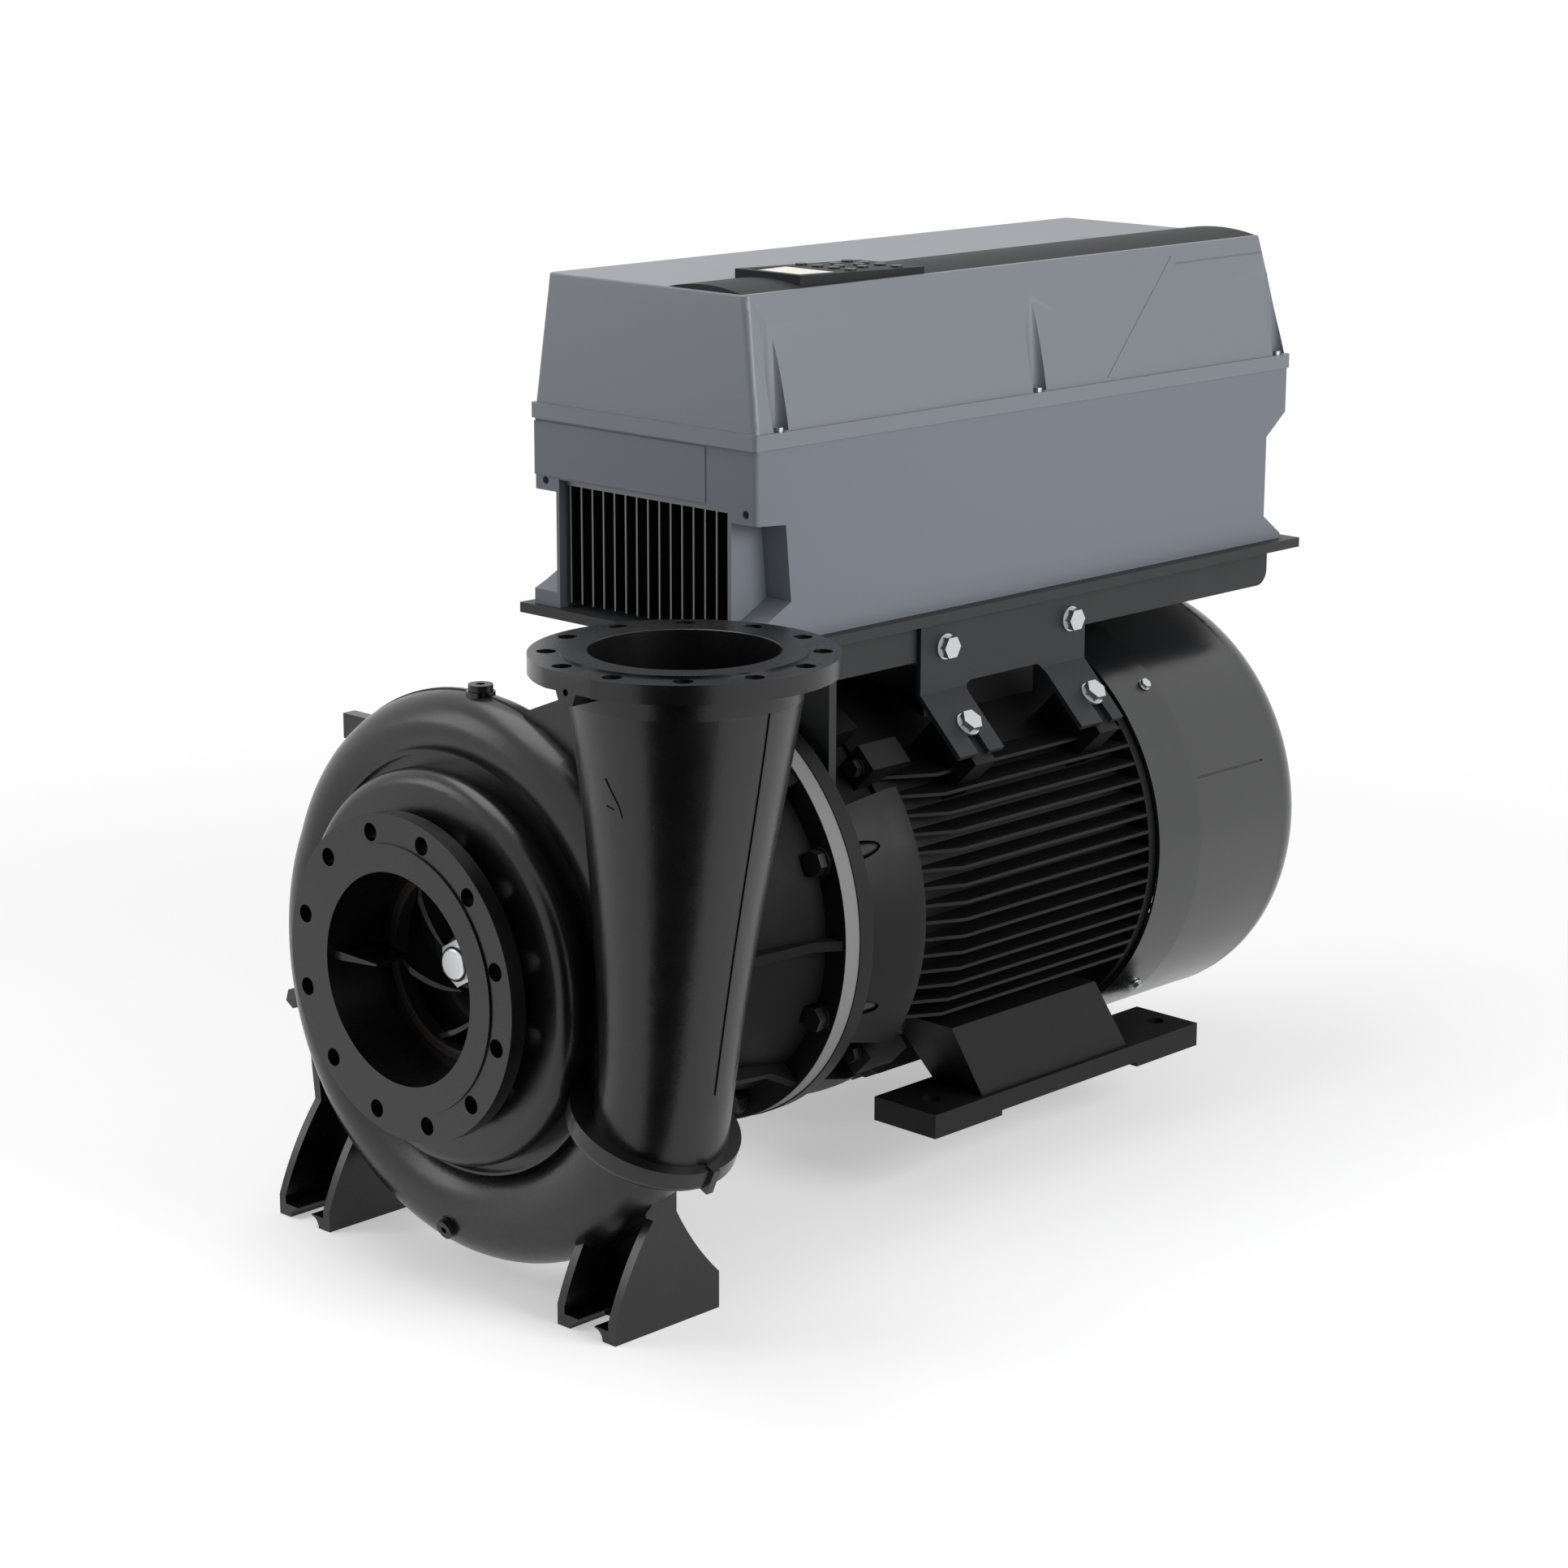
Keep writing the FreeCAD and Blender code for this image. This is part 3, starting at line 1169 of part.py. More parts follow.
def drive_base_plate():
    plate = block(-plate_half_w, plate_half_w, plate_front_y, plate_rear_y, plate_bottom_z, plate_top_z)
    rear_low = plate_bottom_z - skirt_drop
    skirt = plate_yz([
        (skirt_front_y, plate_bottom_z), (skirt_front_y, rear_low), (skirt_rear_y - 26, rear_low),
        (skirt_rear_y - 7, rear_low + 7, skirt_rear_y, rear_low + 26), (skirt_rear_y, plate_bottom_z),
    ], skirt_x - skirt_t, skirt_x)
    solid = fuse_all([plate, skirt, mirrored(skirt)])
    holes = []
    for y in (bracket_front_bolt_y, bracket_rear_bolt_y):
        hole = cylinder(bracket_bolt_d / 2, 2 * skirt_x + 4, V(-skirt_x - 2, y, bracket_upper_bolt_z),
                        V(1, 0, 0))
        holes.append(hole)
    return solid.cut(Part.makeCompound(holes))


def front_support_plate():
    width = skirt_x
    plate = block(-width, width, support_y, support_y + support_t, support_bottom_z, plate_bottom_z)
    plate = plate.cut(cylinder(support_bore_r, 200, V(0, support_y - 50, 0)))
    upper = [s for s in plate.Solids if s.BoundBox.ZMax > plate_bottom_z - 1]
    leg = block(width - 27, width, support_y, support_y + support_t, support_bottom_z,
                shield_r - 26)
    leg = leg.cut(cylinder(ear_floor_r + spigot_gap, 200, V(0, support_y - 50, 0)))
    slot = block(-width - 1, width + 1, support_y - 1, support_y + support_t + 1,
                 plate_bottom_z - skirt_drop, plate_bottom_z + 1)
    skirt_ways = slot.cut(block(-width + skirt_t, width - skirt_t, support_y - 2,
                                support_y + support_t + 2, support_bottom_z, plate_bottom_z + 2))
    return fuse_all(upper + [leg, mirrored(leg)]).cut(skirt_ways)


def bracket():
    """Bent sheet bracket at +X: a flange on the skirt and two forked legs on the frame."""
    inner = skirt_x
    outer = skirt_x + bracket_t
    bend = bracket_plane - outer
    leg_end = bracket_leg_end_x
    profile = [
        (inner, bracket_top_z), (outer, bracket_top_z), (outer, bend),
        (leg_end, bracket_plane - leg_end),
        (leg_end - bracket_t / math.sqrt(2), bracket_plane - leg_end - bracket_t / math.sqrt(2)),
        (inner, bend - bracket_t * math.sqrt(2) + bracket_t),
    ]
    sheet = plate_xz(profile, bracket_front_y, bracket_rear_y)
    leg_w = bracket_leg_w
    window = block(inner - 5, 400, bracket_front_y + leg_w, bracket_rear_y - leg_w, 100,
                   bend + bracket_window_lift)
    window = window.makeFillet(bracket_window_r, [
        e for e in window.Edges if e.CenterOfMass.z > bend and e.Length > 150 and
        abs(e.Vertexes[0].Y - e.Vertexes[1].Y) < 1])
    sheet = sheet.cut(window)
    cuts = []
    outward = V(1, 0, 1).normalize()
    down = V(1, 0, -1).normalize()
    slot_r = bracket_bolt_d / 2 + bolt_play
    for y in (bracket_front_bolt_y, bracket_rear_bolt_y):
        centre = V(bracket_lower_bolt_x, y, bracket_lower_bolt_z)
        cuts.append(cylinder(slot_r, 60, centre - outward * 30, outward))
        cuts.append(plate_slot(centre, down, outward, slot_r))
        cuts.append(cylinder(bracket_bolt_d / 2 + seat_gap, 60, V(inner - 20, y, bracket_upper_bolt_z),
                             V(1, 0, 0)))
    return sheet.cut(Part.makeCompound(cuts))


def plate_slot(centre, along, normal, half):
    """Straight slot cutter from centre in the along direction, through the sheet."""
    side = V(0, half, 0)
    start = centre - normal * 30
    corners = [start + side, start + side + along * 80, start - side + along * 80, start - side]
    return Part.Face(Part.makePolygon(corners + [corners[0]])).extrude(normal * 60)


def bracket_bolts():
    bolts = []
    for y in (bracket_front_bolt_y, bracket_rear_bolt_y):
        for side in (1, -1):
            upper = V(side * (skirt_x + bracket_t), y, bracket_upper_bolt_z)
            bolts += hex_bolt(bracket_bolt_d, bracket_t + skirt_t + 8, upper, V(side, 0, 0))
            outward = V(side, 0, 1).normalize()
            foot = V(side * bracket_lower_bolt_x, y, bracket_lower_bolt_z)
            seat = foot + outward * (bracket_plane / math.sqrt(2) - (bracket_lower_bolt_x
                                     + bracket_lower_bolt_z) / math.sqrt(2))
            bolts += hex_bolt(bracket_bolt_d, 34, seat, outward)
    return bolts


def drive_housing():
    w = housing_half_w
    front = housing_front_y
    bottom = plate_top_z
    side = [
        (front, bottom), (housing_waist_rear_y + 44, bottom), (housing_waist_rear_y + 44, bottom + 8),
        (housing_waist_rear_y, bottom + 40), (housing_waist_rear_y, housing_step_z - 6),
        (housing_rear_y, housing_step_z + 30), (housing_rear_y, housing_top_z),
        (front, housing_top_z),
    ]
    body = plate_yz(side, -w, w)
    duct = block(-duct_half_w, duct_half_w, front - 1, housing_waist_rear_y - 14, bottom - 1, duct_top_z)
    outlet = block(-duct_half_w + 20, duct_half_w - 20, housing_waist_rear_y - 20,
                   housing_waist_rear_y + 60, bottom + 50, duct_top_z - 20)
    bay = block(-w + housing_wall, w - housing_wall, front + housing_wall,
                housing_rear_y - housing_wall, duct_top_z + sink_base_t, housing_top_z + 1)
    sink_window = block(-duct_half_w + 8, duct_half_w - 8, sink_front_y + 20, sink_rear_y - 20,
                        duct_top_z - 1, duct_top_z + sink_base_t + 1)
    notch = plate_yz([
        (front - 10, housing_step_z - 3), (side_notch_y - 3, housing_step_z - 8),
        (side_notch_y + 8, bottom + 56), (front + 23, bottom + 32), (front - 10, bottom + 18),
    ], duct_half_w + 6, w + 10)
    solid = body
    for hollow in (duct, outlet, bay, sink_window, notch, mirrored(notch)):
        solid = solid.cut(hollow)
    edges = [e for e in solid.Edges if abs(e.CenterOfMass.x) > w - 0.01 and
             abs(e.CenterOfMass.y - front) < 0.01 and e.Length > 60]
    solid = solid.makeFillet(8, edges)
    for x in front_hole_xs:
        solid = solid.cut(cylinder(front_hole_d / 2, front_hole_d, V(x, front - 1, front_hole_z)))
    return solid


def heat_sink():
    base = block(-duct_half_w + 8 + seat_gap, duct_half_w - 8 - seat_gap, sink_front_y + 20 + seat_gap,
                 sink_rear_y - 20 - seat_gap, duct_top_z - 6, duct_top_z + sink_base_t)
    fins = []
    pitch = (2 * duct_half_w - 2 * 10 - sink_fin_t) / (sink_fin_count - 1)
    for i in range(sink_fin_count):
        x = -duct_half_w + 10 + pitch * i
        fins.append(block(x, x + sink_fin_t, sink_front_y, sink_rear_y, plate_top_z + 8, duct_top_z - 5))
    plate = block(-duct_half_w + seat_gap, duct_half_w - seat_gap, sink_front_y, sink_rear_y,
                  duct_top_z - 9, duct_top_z - seat_gap)
    return fuse_all([base, plate] + fins)


def drive_cover():
    lip = block(-lip_half_w, lip_half_w, lip_front_y, lip_rear_y, housing_top_z, housing_top_z + lip_t)
    upright = [e for e in lip.Edges if abs(e.Vertexes[0].Z - e.Vertexes[1].Z) > 1]
    lip = lip.makeFillet(8, upright)
    outside = tapered_shell(0)
    solid = fuse_all([lip, outside])
    solid = solid.cut(tapered_shell(cover_wall))
    ways = []
    for y, lean in cover_screw_rows:
        for side in (1, -1):
            base = V(side * cover_screw_x, y, housing_top_z + lip_t)
            tip = V(side * cover_screw_x, y - lean, recess_top_z + 40)
            direction = tip - base
            ways.append((base, direction))
    pillars = []
    for base, direction in ways:
        pillars.append(cylinder(recess_r + 3, direction.Length - 40, base - V(0, 0, 14), direction))
    inside = tapered_shell(1)
    room = fuse_all([inside, block(
        -lip_half_w + 8, lip_half_w - 8, lip_front_y + 8, lip_rear_y - 8, housing_top_z + 6,
        housing_top_z + lip_t)])
    for pillar in pillars:
        solid = solid.fuse(pillar.common(room))
    cutters = []
    for base, direction in ways:
        cutters.append(cylinder(recess_r, direction.Length, base, direction))
        cutters.append(cylinder(recess_foot_r, recess_foot_h, base, V(0, 0, 1)))
        cutters.append(cylinder(cover_screw_d / 2 + seat_gap, 60, base - V(0, 0, 40), V(0, 0, 1)))
    cutters += side_grooves()
    for cutter in cutters:
        solid = solid.cut(cutter)
    stem_ways = []
    for x, y in key_places():
        stem_ways.append(cylinder(key_stem_d / 2 + 1.2, 60, V(x, y, cover_top_z - 30), V(0, 0, 1)))
    return solid.cut(Part.makeCompound(stem_ways))


def on_cover_side(y, drop):
    """Point on the cover's right side, this far below its top."""
    side_h = cover_top_z - housing_top_z - lip_t + 1
    lean = (cover_half_w - cover_top_half_w) / side_h
    return V(cover_top_half_w + lean * drop, y, cover_top_z - drop)


def side_grooves():
    """Cutters of the two grooves on the right side: one leaning, one level."""
    cutters = []
    for start, end in ((on_cover_side(1395, 16), on_cover_side(1222, 182)),
                       (on_cover_side(1404, 27), on_cover_side(1653, 26))):
        cutters.append(cylinder(groove_r, (end - start).Length, start, end - start))
    return cutters


def tapered_shell(inset):
    """The cover's drafted body, or its inside when inset by the wall."""
    bottom = housing_top_z + lip_t - 1 if inset == 0 else housing_top_z - 1
    top = cover_top_z - inset
    w = cover_half_w - inset
    tw = cover_top_half_w - inset
    front = cover_front_y + inset
    rear = cover_rear_y - inset
    low = Part.makePolygon([V(-w, front, bottom), V(w, front, bottom), V(w, rear, bottom),
                            V(-w, rear, bottom), V(-w, front, bottom)])
    top_front = cover_top_front_y + inset
    top_rear = cover_top_rear_y - inset
    high = Part.makePolygon([V(-tw, top_front, top), V(tw, top_front, top), V(tw, top_rear, top),
                             V(-tw, top_rear, top), V(-tw, top_front, top)])
    shell = Part.makeLoft([low, high], True, True)
    if inset > 0:
        return shell
    edges = [e for e in shell.Edges if abs(e.Vertexes[0].Z - e.Vertexes[1].Z) > 1]
    shell = shell.makeFillet(cover_edge_r, edges)
    rim = [e for e in shell.Edges if abs(e.CenterOfMass.z - top) < 0.01]
    return shell.makeFillet(3, rim)


def cover_screws():
    screws = []
    for y, lean in cover_screw_rows:
        for side in (1, -1):
            seat = V(side * cover_screw_x, y, housing_top_z + lip_t)
            head = cylinder(cover_screw_d * 0.8, 6, seat, V(0, 0, 1))
            socket = hexagon(cover_screw_d * 0.7, 8, seat + V(0, 0, 2), V(0, 0, 1))
            shank = cylinder(cover_screw_d / 2, lip_t - 2, seat, V(0, 0, -1))
            screws.append(fuse_all([head, shank]).cut(socket))
    return screws


def cover_band():
    outline = [
        (band_inner_x, cover_top_z), (band_middle_x, cover_top_z + band_h, band_outer_x, cover_top_z),
    ]
    band = plate_xz(outline, cover_top_front_y + 4, cover_top_rear_y - 4)
    seat = block(keypad_inner_x - seat_gap, keypad_outer_x + seat_gap, keypad_front_y - seat_gap,
                 keypad_rear_y + seat_gap, cover_top_z - 1, cover_top_z + 60)
    return band.cut(seat)


def key_places():
    """Centres of the keys in plan: a row by the display, the cross of arrows, a last row."""
    middle = (keypad_inner_x + keypad_outer_x) / 2
    row = [-48, -16, 16, 48]
    first = keypad_front_y + 118
    places = [(middle + dx, first) for dx in row]
    cross_y = first + 48
    places += [(middle, cross_y - 21), (middle - 26, cross_y), (middle + 26, cross_y),
               (middle, cross_y + 21)]
    last = first + 96
    places += [(middle + dx, last) for dx in row]
    return places


def panel_top(y):
    """Height of the keypad's top, which falls from its front edge to its rear edge."""
    return keypad_top_z + keypad_lift * (keypad_rear_y - y) / (keypad_rear_y - keypad_front_y)


def keypad_panel():
    panel = plate_yz([
        (keypad_front_y, cover_top_z), (keypad_front_y, panel_top(keypad_front_y)),
        (keypad_rear_y, panel_top(keypad_rear_y)), (keypad_rear_y, cover_top_z),
    ], keypad_inner_x, keypad_outer_x)
    window = block(keypad_inner_x + display_margin, keypad_outer_x - display_margin,
                   keypad_front_y + display_margin, keypad_front_y + display_margin + display_l,
                   display_top_z - display_t, keypad_top_z + 2 * keypad_lift)
    panel = panel.cut(window)
    ways = []
    for x, y in key_places():
        ways.append(cylinder(key_stem_d / 2 + 0.1, 60, V(x, y, cover_top_z - 30), V(0, 0, 1)))
        ways.append(cylinder(key_d / 2 + seat_gap, 20, V(x, y, panel_top(y) - 1.4), V(0, 0, 1)))
    return panel.cut(Part.makeCompound(ways))


def keypad_display():
    return block(keypad_inner_x + display_margin + seat_gap, keypad_outer_x - display_margin - seat_gap,
                 keypad_front_y + display_margin + seat_gap,
                 keypad_front_y + display_margin + display_l - seat_gap,
                 display_top_z - display_t, display_top_z)


def key(x, y):
    foot = V(x, y, panel_top(y))
    cap = cylinder(key_d / 2, key_height, foot, V(0, 0, 1))
    cap = cap.makeFillet(0.8, [e for e in cap.Edges if e.Closed and
                               e.CenterOfMass.z > foot.z + key_height - 0.01])
    stem = cylinder(key_stem_d / 2, 14, foot, V(0, 0, -1))
    return fuse_all([cap, stem])


def front_blanking_panel():
    return block(blank_x0, blank_x1, housing_front_y - blank_t, housing_front_y, blank_z0, blank_z1)


def circuit_board():
    return block(-180, 180, 560, 1500, duct_top_z + sink_base_t + 8, duct_top_z + sink_base_t + 11)


def board_posts():
    posts = []
    for x in (-150, 150):
        for y in (600, 1030, 1460):
            posts.append(cylinder(5, 8, V(x, y, duct_top_z + sink_base_t), V(0, 0, 1)))
    return posts


def capacitor_bank():
    cans = []
    board_top = duct_top_z + sink_base_t + 11
    for x in (-120, -40, 40, 120):
        for y in (1120, 1220, 1320):
            cans.append(cylinder(34, 110, V(x, y, board_top), V(0, 0, 1)))
    return cans


def drive_fan():
    centre = V(0, drive_fan_y, drive_fan_z)
    hub = cylinder(26, 18, centre)
    blades = []
    for i in range(5):
        blade = Part.makeBox(drive_fan_r - 22, 3, 22, V(22, -1.5, -11))
        blade.rotate(V(0, 0, 0), V(1, 0, 0), 35)
        blade.rotate(V(0, 0, 0), V(0, 1, 0), 72.0 * i)
        blade.translate(centre + V(0, 9, 0))
        blades.append(blade)
    bore = cylinder(5 + running_gap, 40, centre - V(0, 10, 0))
    return fuse_all([hub] + blades).cut(bore)


def drive_fan_frame():
    y0 = drive_fan_y + 20
    wall_y = housing_waist_rear_y - 14
    spider = fuse_all([
        block(-duct_half_w, duct_half_w, y0, wall_y, drive_fan_z - 7, drive_fan_z + 7),
        cylinder(24, wall_y - y0, V(0, y0, drive_fan_z)),
        cylinder(5, 24, V(0, drive_fan_y - 3, drive_fan_z)),
    ])
    return spider


def plug(place, direction, diameter, hexagon_h):
    """Plug with its collar on a face, its thread below it, and a socket or a hexagon on top."""
    collar_h = diameter * 0.4
    head = cylinder(diameter * 0.72, collar_h, place, direction)
    thread = cylinder(diameter / 2, diameter * 0.6, place, direction * -1)
    if hexagon_h > 0:
        top = hexagon(diameter * 1.2, hexagon_h, place + direction * (collar_h - 1), direction)
        return fuse_all([head, thread, top])
    socket = hexagon(diameter * 0.5, diameter, place + direction * (diameter * 0.12), direction)
    return fuse_all([head, thread]).cut(socket)


def casing_plugs():
    return [plug(*item) for item in plug_places]


save("volute_casing", volute_casing())
save("wear_ring", wear_ring())
save("impeller", impeller())
save("impeller_nut", impeller_nut())
save("impeller_key", key_slot(0))
save("stub_shaft", stub_shaft())
save("casing_cover", casing_cover())
save("seal_seat", seal_seat())
save("seal_head", seal_head())
save("motor_stool", motor_stool())
save("casing_bolts", casing_bolts())
save("flange_bolts", flange_bolts())
save("drive_end_shield", drive_end_shield())
save("ear_bolts", ear_bolts())
save("stator_frame", stator_frame())
save("stator_core", stator_core())
save("stator_windings", stator_windings())
save("rotor_core", rotor_core())
save("motor_shaft", motor_shaft())
outer, inner, balls = bearing(shaft_seat_d / 2, de_bearing_r, de_bearing_y, de_bearing_w)
save("drive_end_bearing_outer", outer)
save("drive_end_bearing_inner", inner)
all_balls = balls
outer, inner, balls = bearing(nde_seat_d / 2, nde_bearing_r, nde_bearing_y, nde_bearing_w)
save("fan_end_bearing_outer", outer)
save("fan_end_bearing_inner", inner)
save("bearing_balls", all_balls + balls)
save("casing_plugs", casing_plugs())
save("fan_end_shield", non_drive_end_shield())
save("cooling_fan", cooling_fan())
save("fan_cowl", fan_cowl())
save("cowl_screws", cowl_screws())
save("motor_foot_right", motor_foot())
save("motor_foot_left", mirrored(motor_foot()))
save("drive_base_plate", drive_base_plate())
save("front_support_plate", front_support_plate())
save("bracket_right", bracket())
save("bracket_left", mirrored(bracket()))
save("bracket_bolts", bracket_bolts())
save("drive_housing", drive_housing())
save("heat_sink", heat_sink())
save("drive_cover", drive_cover())
save("cover_screws", cover_screws())
save("cover_band", cover_band())
save("keypad_panel", keypad_panel())
save("keypad_display", keypad_display())
save("front_blanking_panel", front_blanking_panel())
save("circuit_board", fuse_all([circuit_board()] + board_posts()))
save("capacitor_bank", capacitor_bank())
save("drive_fan", drive_fan())
save("drive_fan_frame", drive_fan_frame())
for number, (x, y) in enumerate(key_places()):
    save("key_%02d" % (number + 1), key(x, y))

for name, shape in nodes.items():
    print(name, len(shape.Solids), shape.isValid(), round(shape.Volume / 1000.0, 1))
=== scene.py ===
import json
import math

import bmesh
import bpy
from mathutils import Matrix, Vector


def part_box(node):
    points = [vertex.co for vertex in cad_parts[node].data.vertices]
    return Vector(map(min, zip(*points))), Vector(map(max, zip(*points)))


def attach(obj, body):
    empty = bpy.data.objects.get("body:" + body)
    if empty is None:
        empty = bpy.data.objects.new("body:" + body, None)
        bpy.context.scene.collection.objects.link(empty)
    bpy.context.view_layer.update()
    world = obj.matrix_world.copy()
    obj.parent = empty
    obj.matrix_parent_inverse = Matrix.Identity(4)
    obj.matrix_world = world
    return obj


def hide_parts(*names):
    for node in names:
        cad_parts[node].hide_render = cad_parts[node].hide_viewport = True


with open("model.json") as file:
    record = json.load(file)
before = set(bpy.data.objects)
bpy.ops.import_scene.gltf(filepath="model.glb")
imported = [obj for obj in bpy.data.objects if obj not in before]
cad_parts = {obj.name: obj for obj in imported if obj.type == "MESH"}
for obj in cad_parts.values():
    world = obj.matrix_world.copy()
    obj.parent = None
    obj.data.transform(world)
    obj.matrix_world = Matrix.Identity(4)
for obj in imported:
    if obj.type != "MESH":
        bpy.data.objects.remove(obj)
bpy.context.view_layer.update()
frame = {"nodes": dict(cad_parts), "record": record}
nodes = frame["nodes"]
scene = bpy.context.scene
scene.view_settings.view_transform = "Standard"


# Camera at the photograph's angle: low, from the suction side and to the right.
# The lens is long, because near and far rims of the flanges differ little in size.
camera_azimuth = 44.01
camera_elevation = 14.22
camera_roll = 0.21
camera_offset = Vector((-0.5268, -0.2668, 5.0569))
camera_focal = 85.28

azimuth = math.radians(camera_azimuth)
elevation = math.radians(camera_elevation)
forward = Vector((
    -math.sin(azimuth) * math.cos(elevation),
    math.cos(azimuth) * math.cos(elevation),
    -math.sin(elevation),
))
level = Vector((math.cos(azimuth), math.sin(azimuth), 0))
rise = level.cross(forward)
roll = math.radians(camera_roll)
right = level * math.cos(roll) + rise * math.sin(roll)
up = rise * math.cos(roll) - level * math.sin(roll)
lens = bpy.data.cameras.new("camera")
lens.lens = camera_focal
lens.sensor_width = 36
lens.clip_end = 100
camera = bpy.data.objects.new("camera", lens)
turn = Matrix((right, up, -forward)).transposed()
place = -(right * camera_offset.x + up * camera_offset.y + forward * camera_offset.z)
camera.matrix_world = Matrix.Translation(place) @ turn.to_4x4()
scene.collection.objects.link(camera)
scene.camera = camera


# Studio: white paper under the pump's feet, large soft lamps, and an even white surround.
# Two black felt cards on the camera's side, one upright and one lying on the paper, are
# seen in reflections alone and keep the black enamel black.
def linear(hex_colour):
    """An sRGB hex colour as linear values with alpha."""
    values = []
    for i in (1, 3, 5):
        c = int(hex_colour[i:i + 2], 16) / 255
        values.append(c / 12.92 if c <= 0.04045 else ((c + 0.055) / 1.055) ** 2.4)
    return (*values, 1.0)


def add(tree, kind, inputs=None, **settings):
    """Adds a node with its settings, its values and its links, and returns it."""
    node = tree.nodes.new(kind)
    for name, value in settings.items():
        setattr(node, name, value)
    for name, value in (inputs or {}).items():
        if isinstance(value, bpy.types.NodeSocket):
            tree.links.new(value, node.inputs[name])
        else:
            node.inputs[name].default_value = value
    return node


def soft_lamp(name, size, energy, at, towards):
    """A rectangular studio lamp of the given width and height, facing a point."""
    light = bpy.data.lights.new(name, "AREA")
    light.shape = "RECTANGLE"
    light.size, light.size_y = size
    light.energy = energy
    lamp = bpy.data.objects.new(name, light)
    lamp.location = at
    facing = Vector(towards) - Vector(at)
    lamp.rotation_euler = facing.to_track_quat("-Z", "Y").to_euler()
    scene.collection.objects.link(lamp)


def reflected_or_seen(tree):
    """One for rays from the camera, from a mirror-like surface or through glass, else zero."""
    rays = add(tree, "ShaderNodeLightPath")
    either = add(tree, "ShaderNodeMath", {0: rays.outputs["Is Camera Ray"],
                                          1: rays.outputs["Is Glossy Ray"]}, operation="MAXIMUM")
    return add(tree, "ShaderNodeMath", {0: either.outputs[0],
                                        1: rays.outputs["Is Transmission Ray"]},
               operation="MAXIMUM").outputs[0]


def flat_sheet(name, width, height):
    """A flat rectangle of the given size in metres, for the floor and the cards."""
    mesh = bpy.data.meshes.new(name)
    shape = bmesh.new()
    bmesh.ops.create_grid(shape, x_segments=1, y_segments=1, size=0.5)
    bmesh.ops.scale(shape, vec=(width, height, 1), verts=shape.verts)
    shape.to_mesh(mesh)
    shape.free()
    sheet = bpy.data.objects.new(name, mesh)
    scene.collection.objects.link(sheet)
    return sheet


soft_lamp("top_softbox", (2.6, 2.0), 44, (-0.7, 0.2, 3.2), (0.0, 0.7, 0.3))
soft_lamp("right_softbox", (3.0, 2.0), 120, (4.4, 1.4, 2.0), (0.1, 0.9, 0.4))
soft_lamp("left_softbox", (1.4, 2.2), 26, (-2.8, -2.4, 1.9), (0.0, 0.2, 0.1))

world = bpy.data.worlds.new("studio")
scene.world = world
world.use_nodes = True
sky = world.node_tree
sky.nodes.clear()
ambient = 0.24
strength = add(sky, "ShaderNodeMapRange", {"Value": reflected_or_seen(sky), "To Min": ambient,
                                           "To Max": 1.0})
light = add(sky, "ShaderNodeBackground", {"Color": linear("#ffffff"),
                                          "Strength": strength.outputs[0]})
add(sky, "ShaderNodeOutputWorld", {"Surface": light.outputs[0]})

# The paper is lit by the lamps near the pump, and fades to plain white further out
floor_size = 60
floor_z = -0.4505
floor = flat_sheet("floor", floor_size, floor_size)
floor.location.z = floor_z
paper = bpy.data.materials.new("white_backdrop_paper")
paper.use_nodes = True
tree = paper.node_tree
shader = tree.nodes["Principled BSDF"]
shader.inputs["Base Color"].default_value = linear("#f4f4f4")
shader.inputs["Roughness"].default_value = 0.9
shader.inputs["Specular IOR Level"].default_value = 0.1
seen = reflected_or_seen(tree)
paper_lift = 0.42
lift = add(tree, "ShaderNodeMath", {0: seen, 1: paper_lift}, operation="MULTIPLY")
glow = add(tree, "ShaderNodeEmission", {"Strength": lift.outputs[0]})
near = add(tree, "ShaderNodeAddShader", {0: shader.outputs[0], 1: glow.outputs[0]})
pump_middle = (0.0, 0.7, 0.0)
fade_start = 1.1
fade_end = 3.2
spot = add(tree, "ShaderNodeTexCoord")
away = add(tree, "ShaderNodeVectorMath", {0: spot.outputs["Object"], 1: pump_middle},
           operation="DISTANCE")
fade = add(tree, "ShaderNodeMapRange", {"Value": away.outputs["Value"],
                                        "From Min": fade_start, "From Max": fade_end},
           interpolation_type="SMOOTHSTEP")
far = add(tree, "ShaderNodeMath", {0: fade.outputs[0], 1: seen}, operation="MULTIPLY")
white = add(tree, "ShaderNodeEmission", {"Strength": 1.0})
blend = add(tree, "ShaderNodeMixShader", {0: far.outputs[0], 1: near.outputs[0],
                                          2: white.outputs[0]})
tree.links.new(blend.outputs[0], tree.nodes["Material Output"].inputs["Surface"])
floor.data.materials.append(paper)

felt = bpy.data.materials.new("black_felt")
felt.use_nodes = True
shader = felt.node_tree.nodes["Principled BSDF"]
shader.inputs["Base Color"].default_value = linear("#060606")
shader.inputs["Specular IOR Level"].default_value = 0.0
suction_side = Vector((0.1, 0.3, 0.2))
upright_place = Vector((1.75, -1.55, 0.35))
lying_place = Vector((1.35, -1.15, -0.445))
for card, card_place, card_facing in (
        (flat_sheet("upright_dark_card", 1.9, 2.4), upright_place,
         suction_side - upright_place),
        (flat_sheet("lying_dark_card", 1.6, 2.0), lying_place, Vector((0, 0, 1)))):
    facing = card_facing.to_track_quat("Z", "Y").to_matrix().to_4x4()
    card.matrix_world = Matrix.Translation(card_place) @ facing
    for kind in ("camera", "diffuse", "transmission", "volume_scatter", "shadow"):
        setattr(card, "visible_" + kind, False)
    card.data.materials.append(felt)


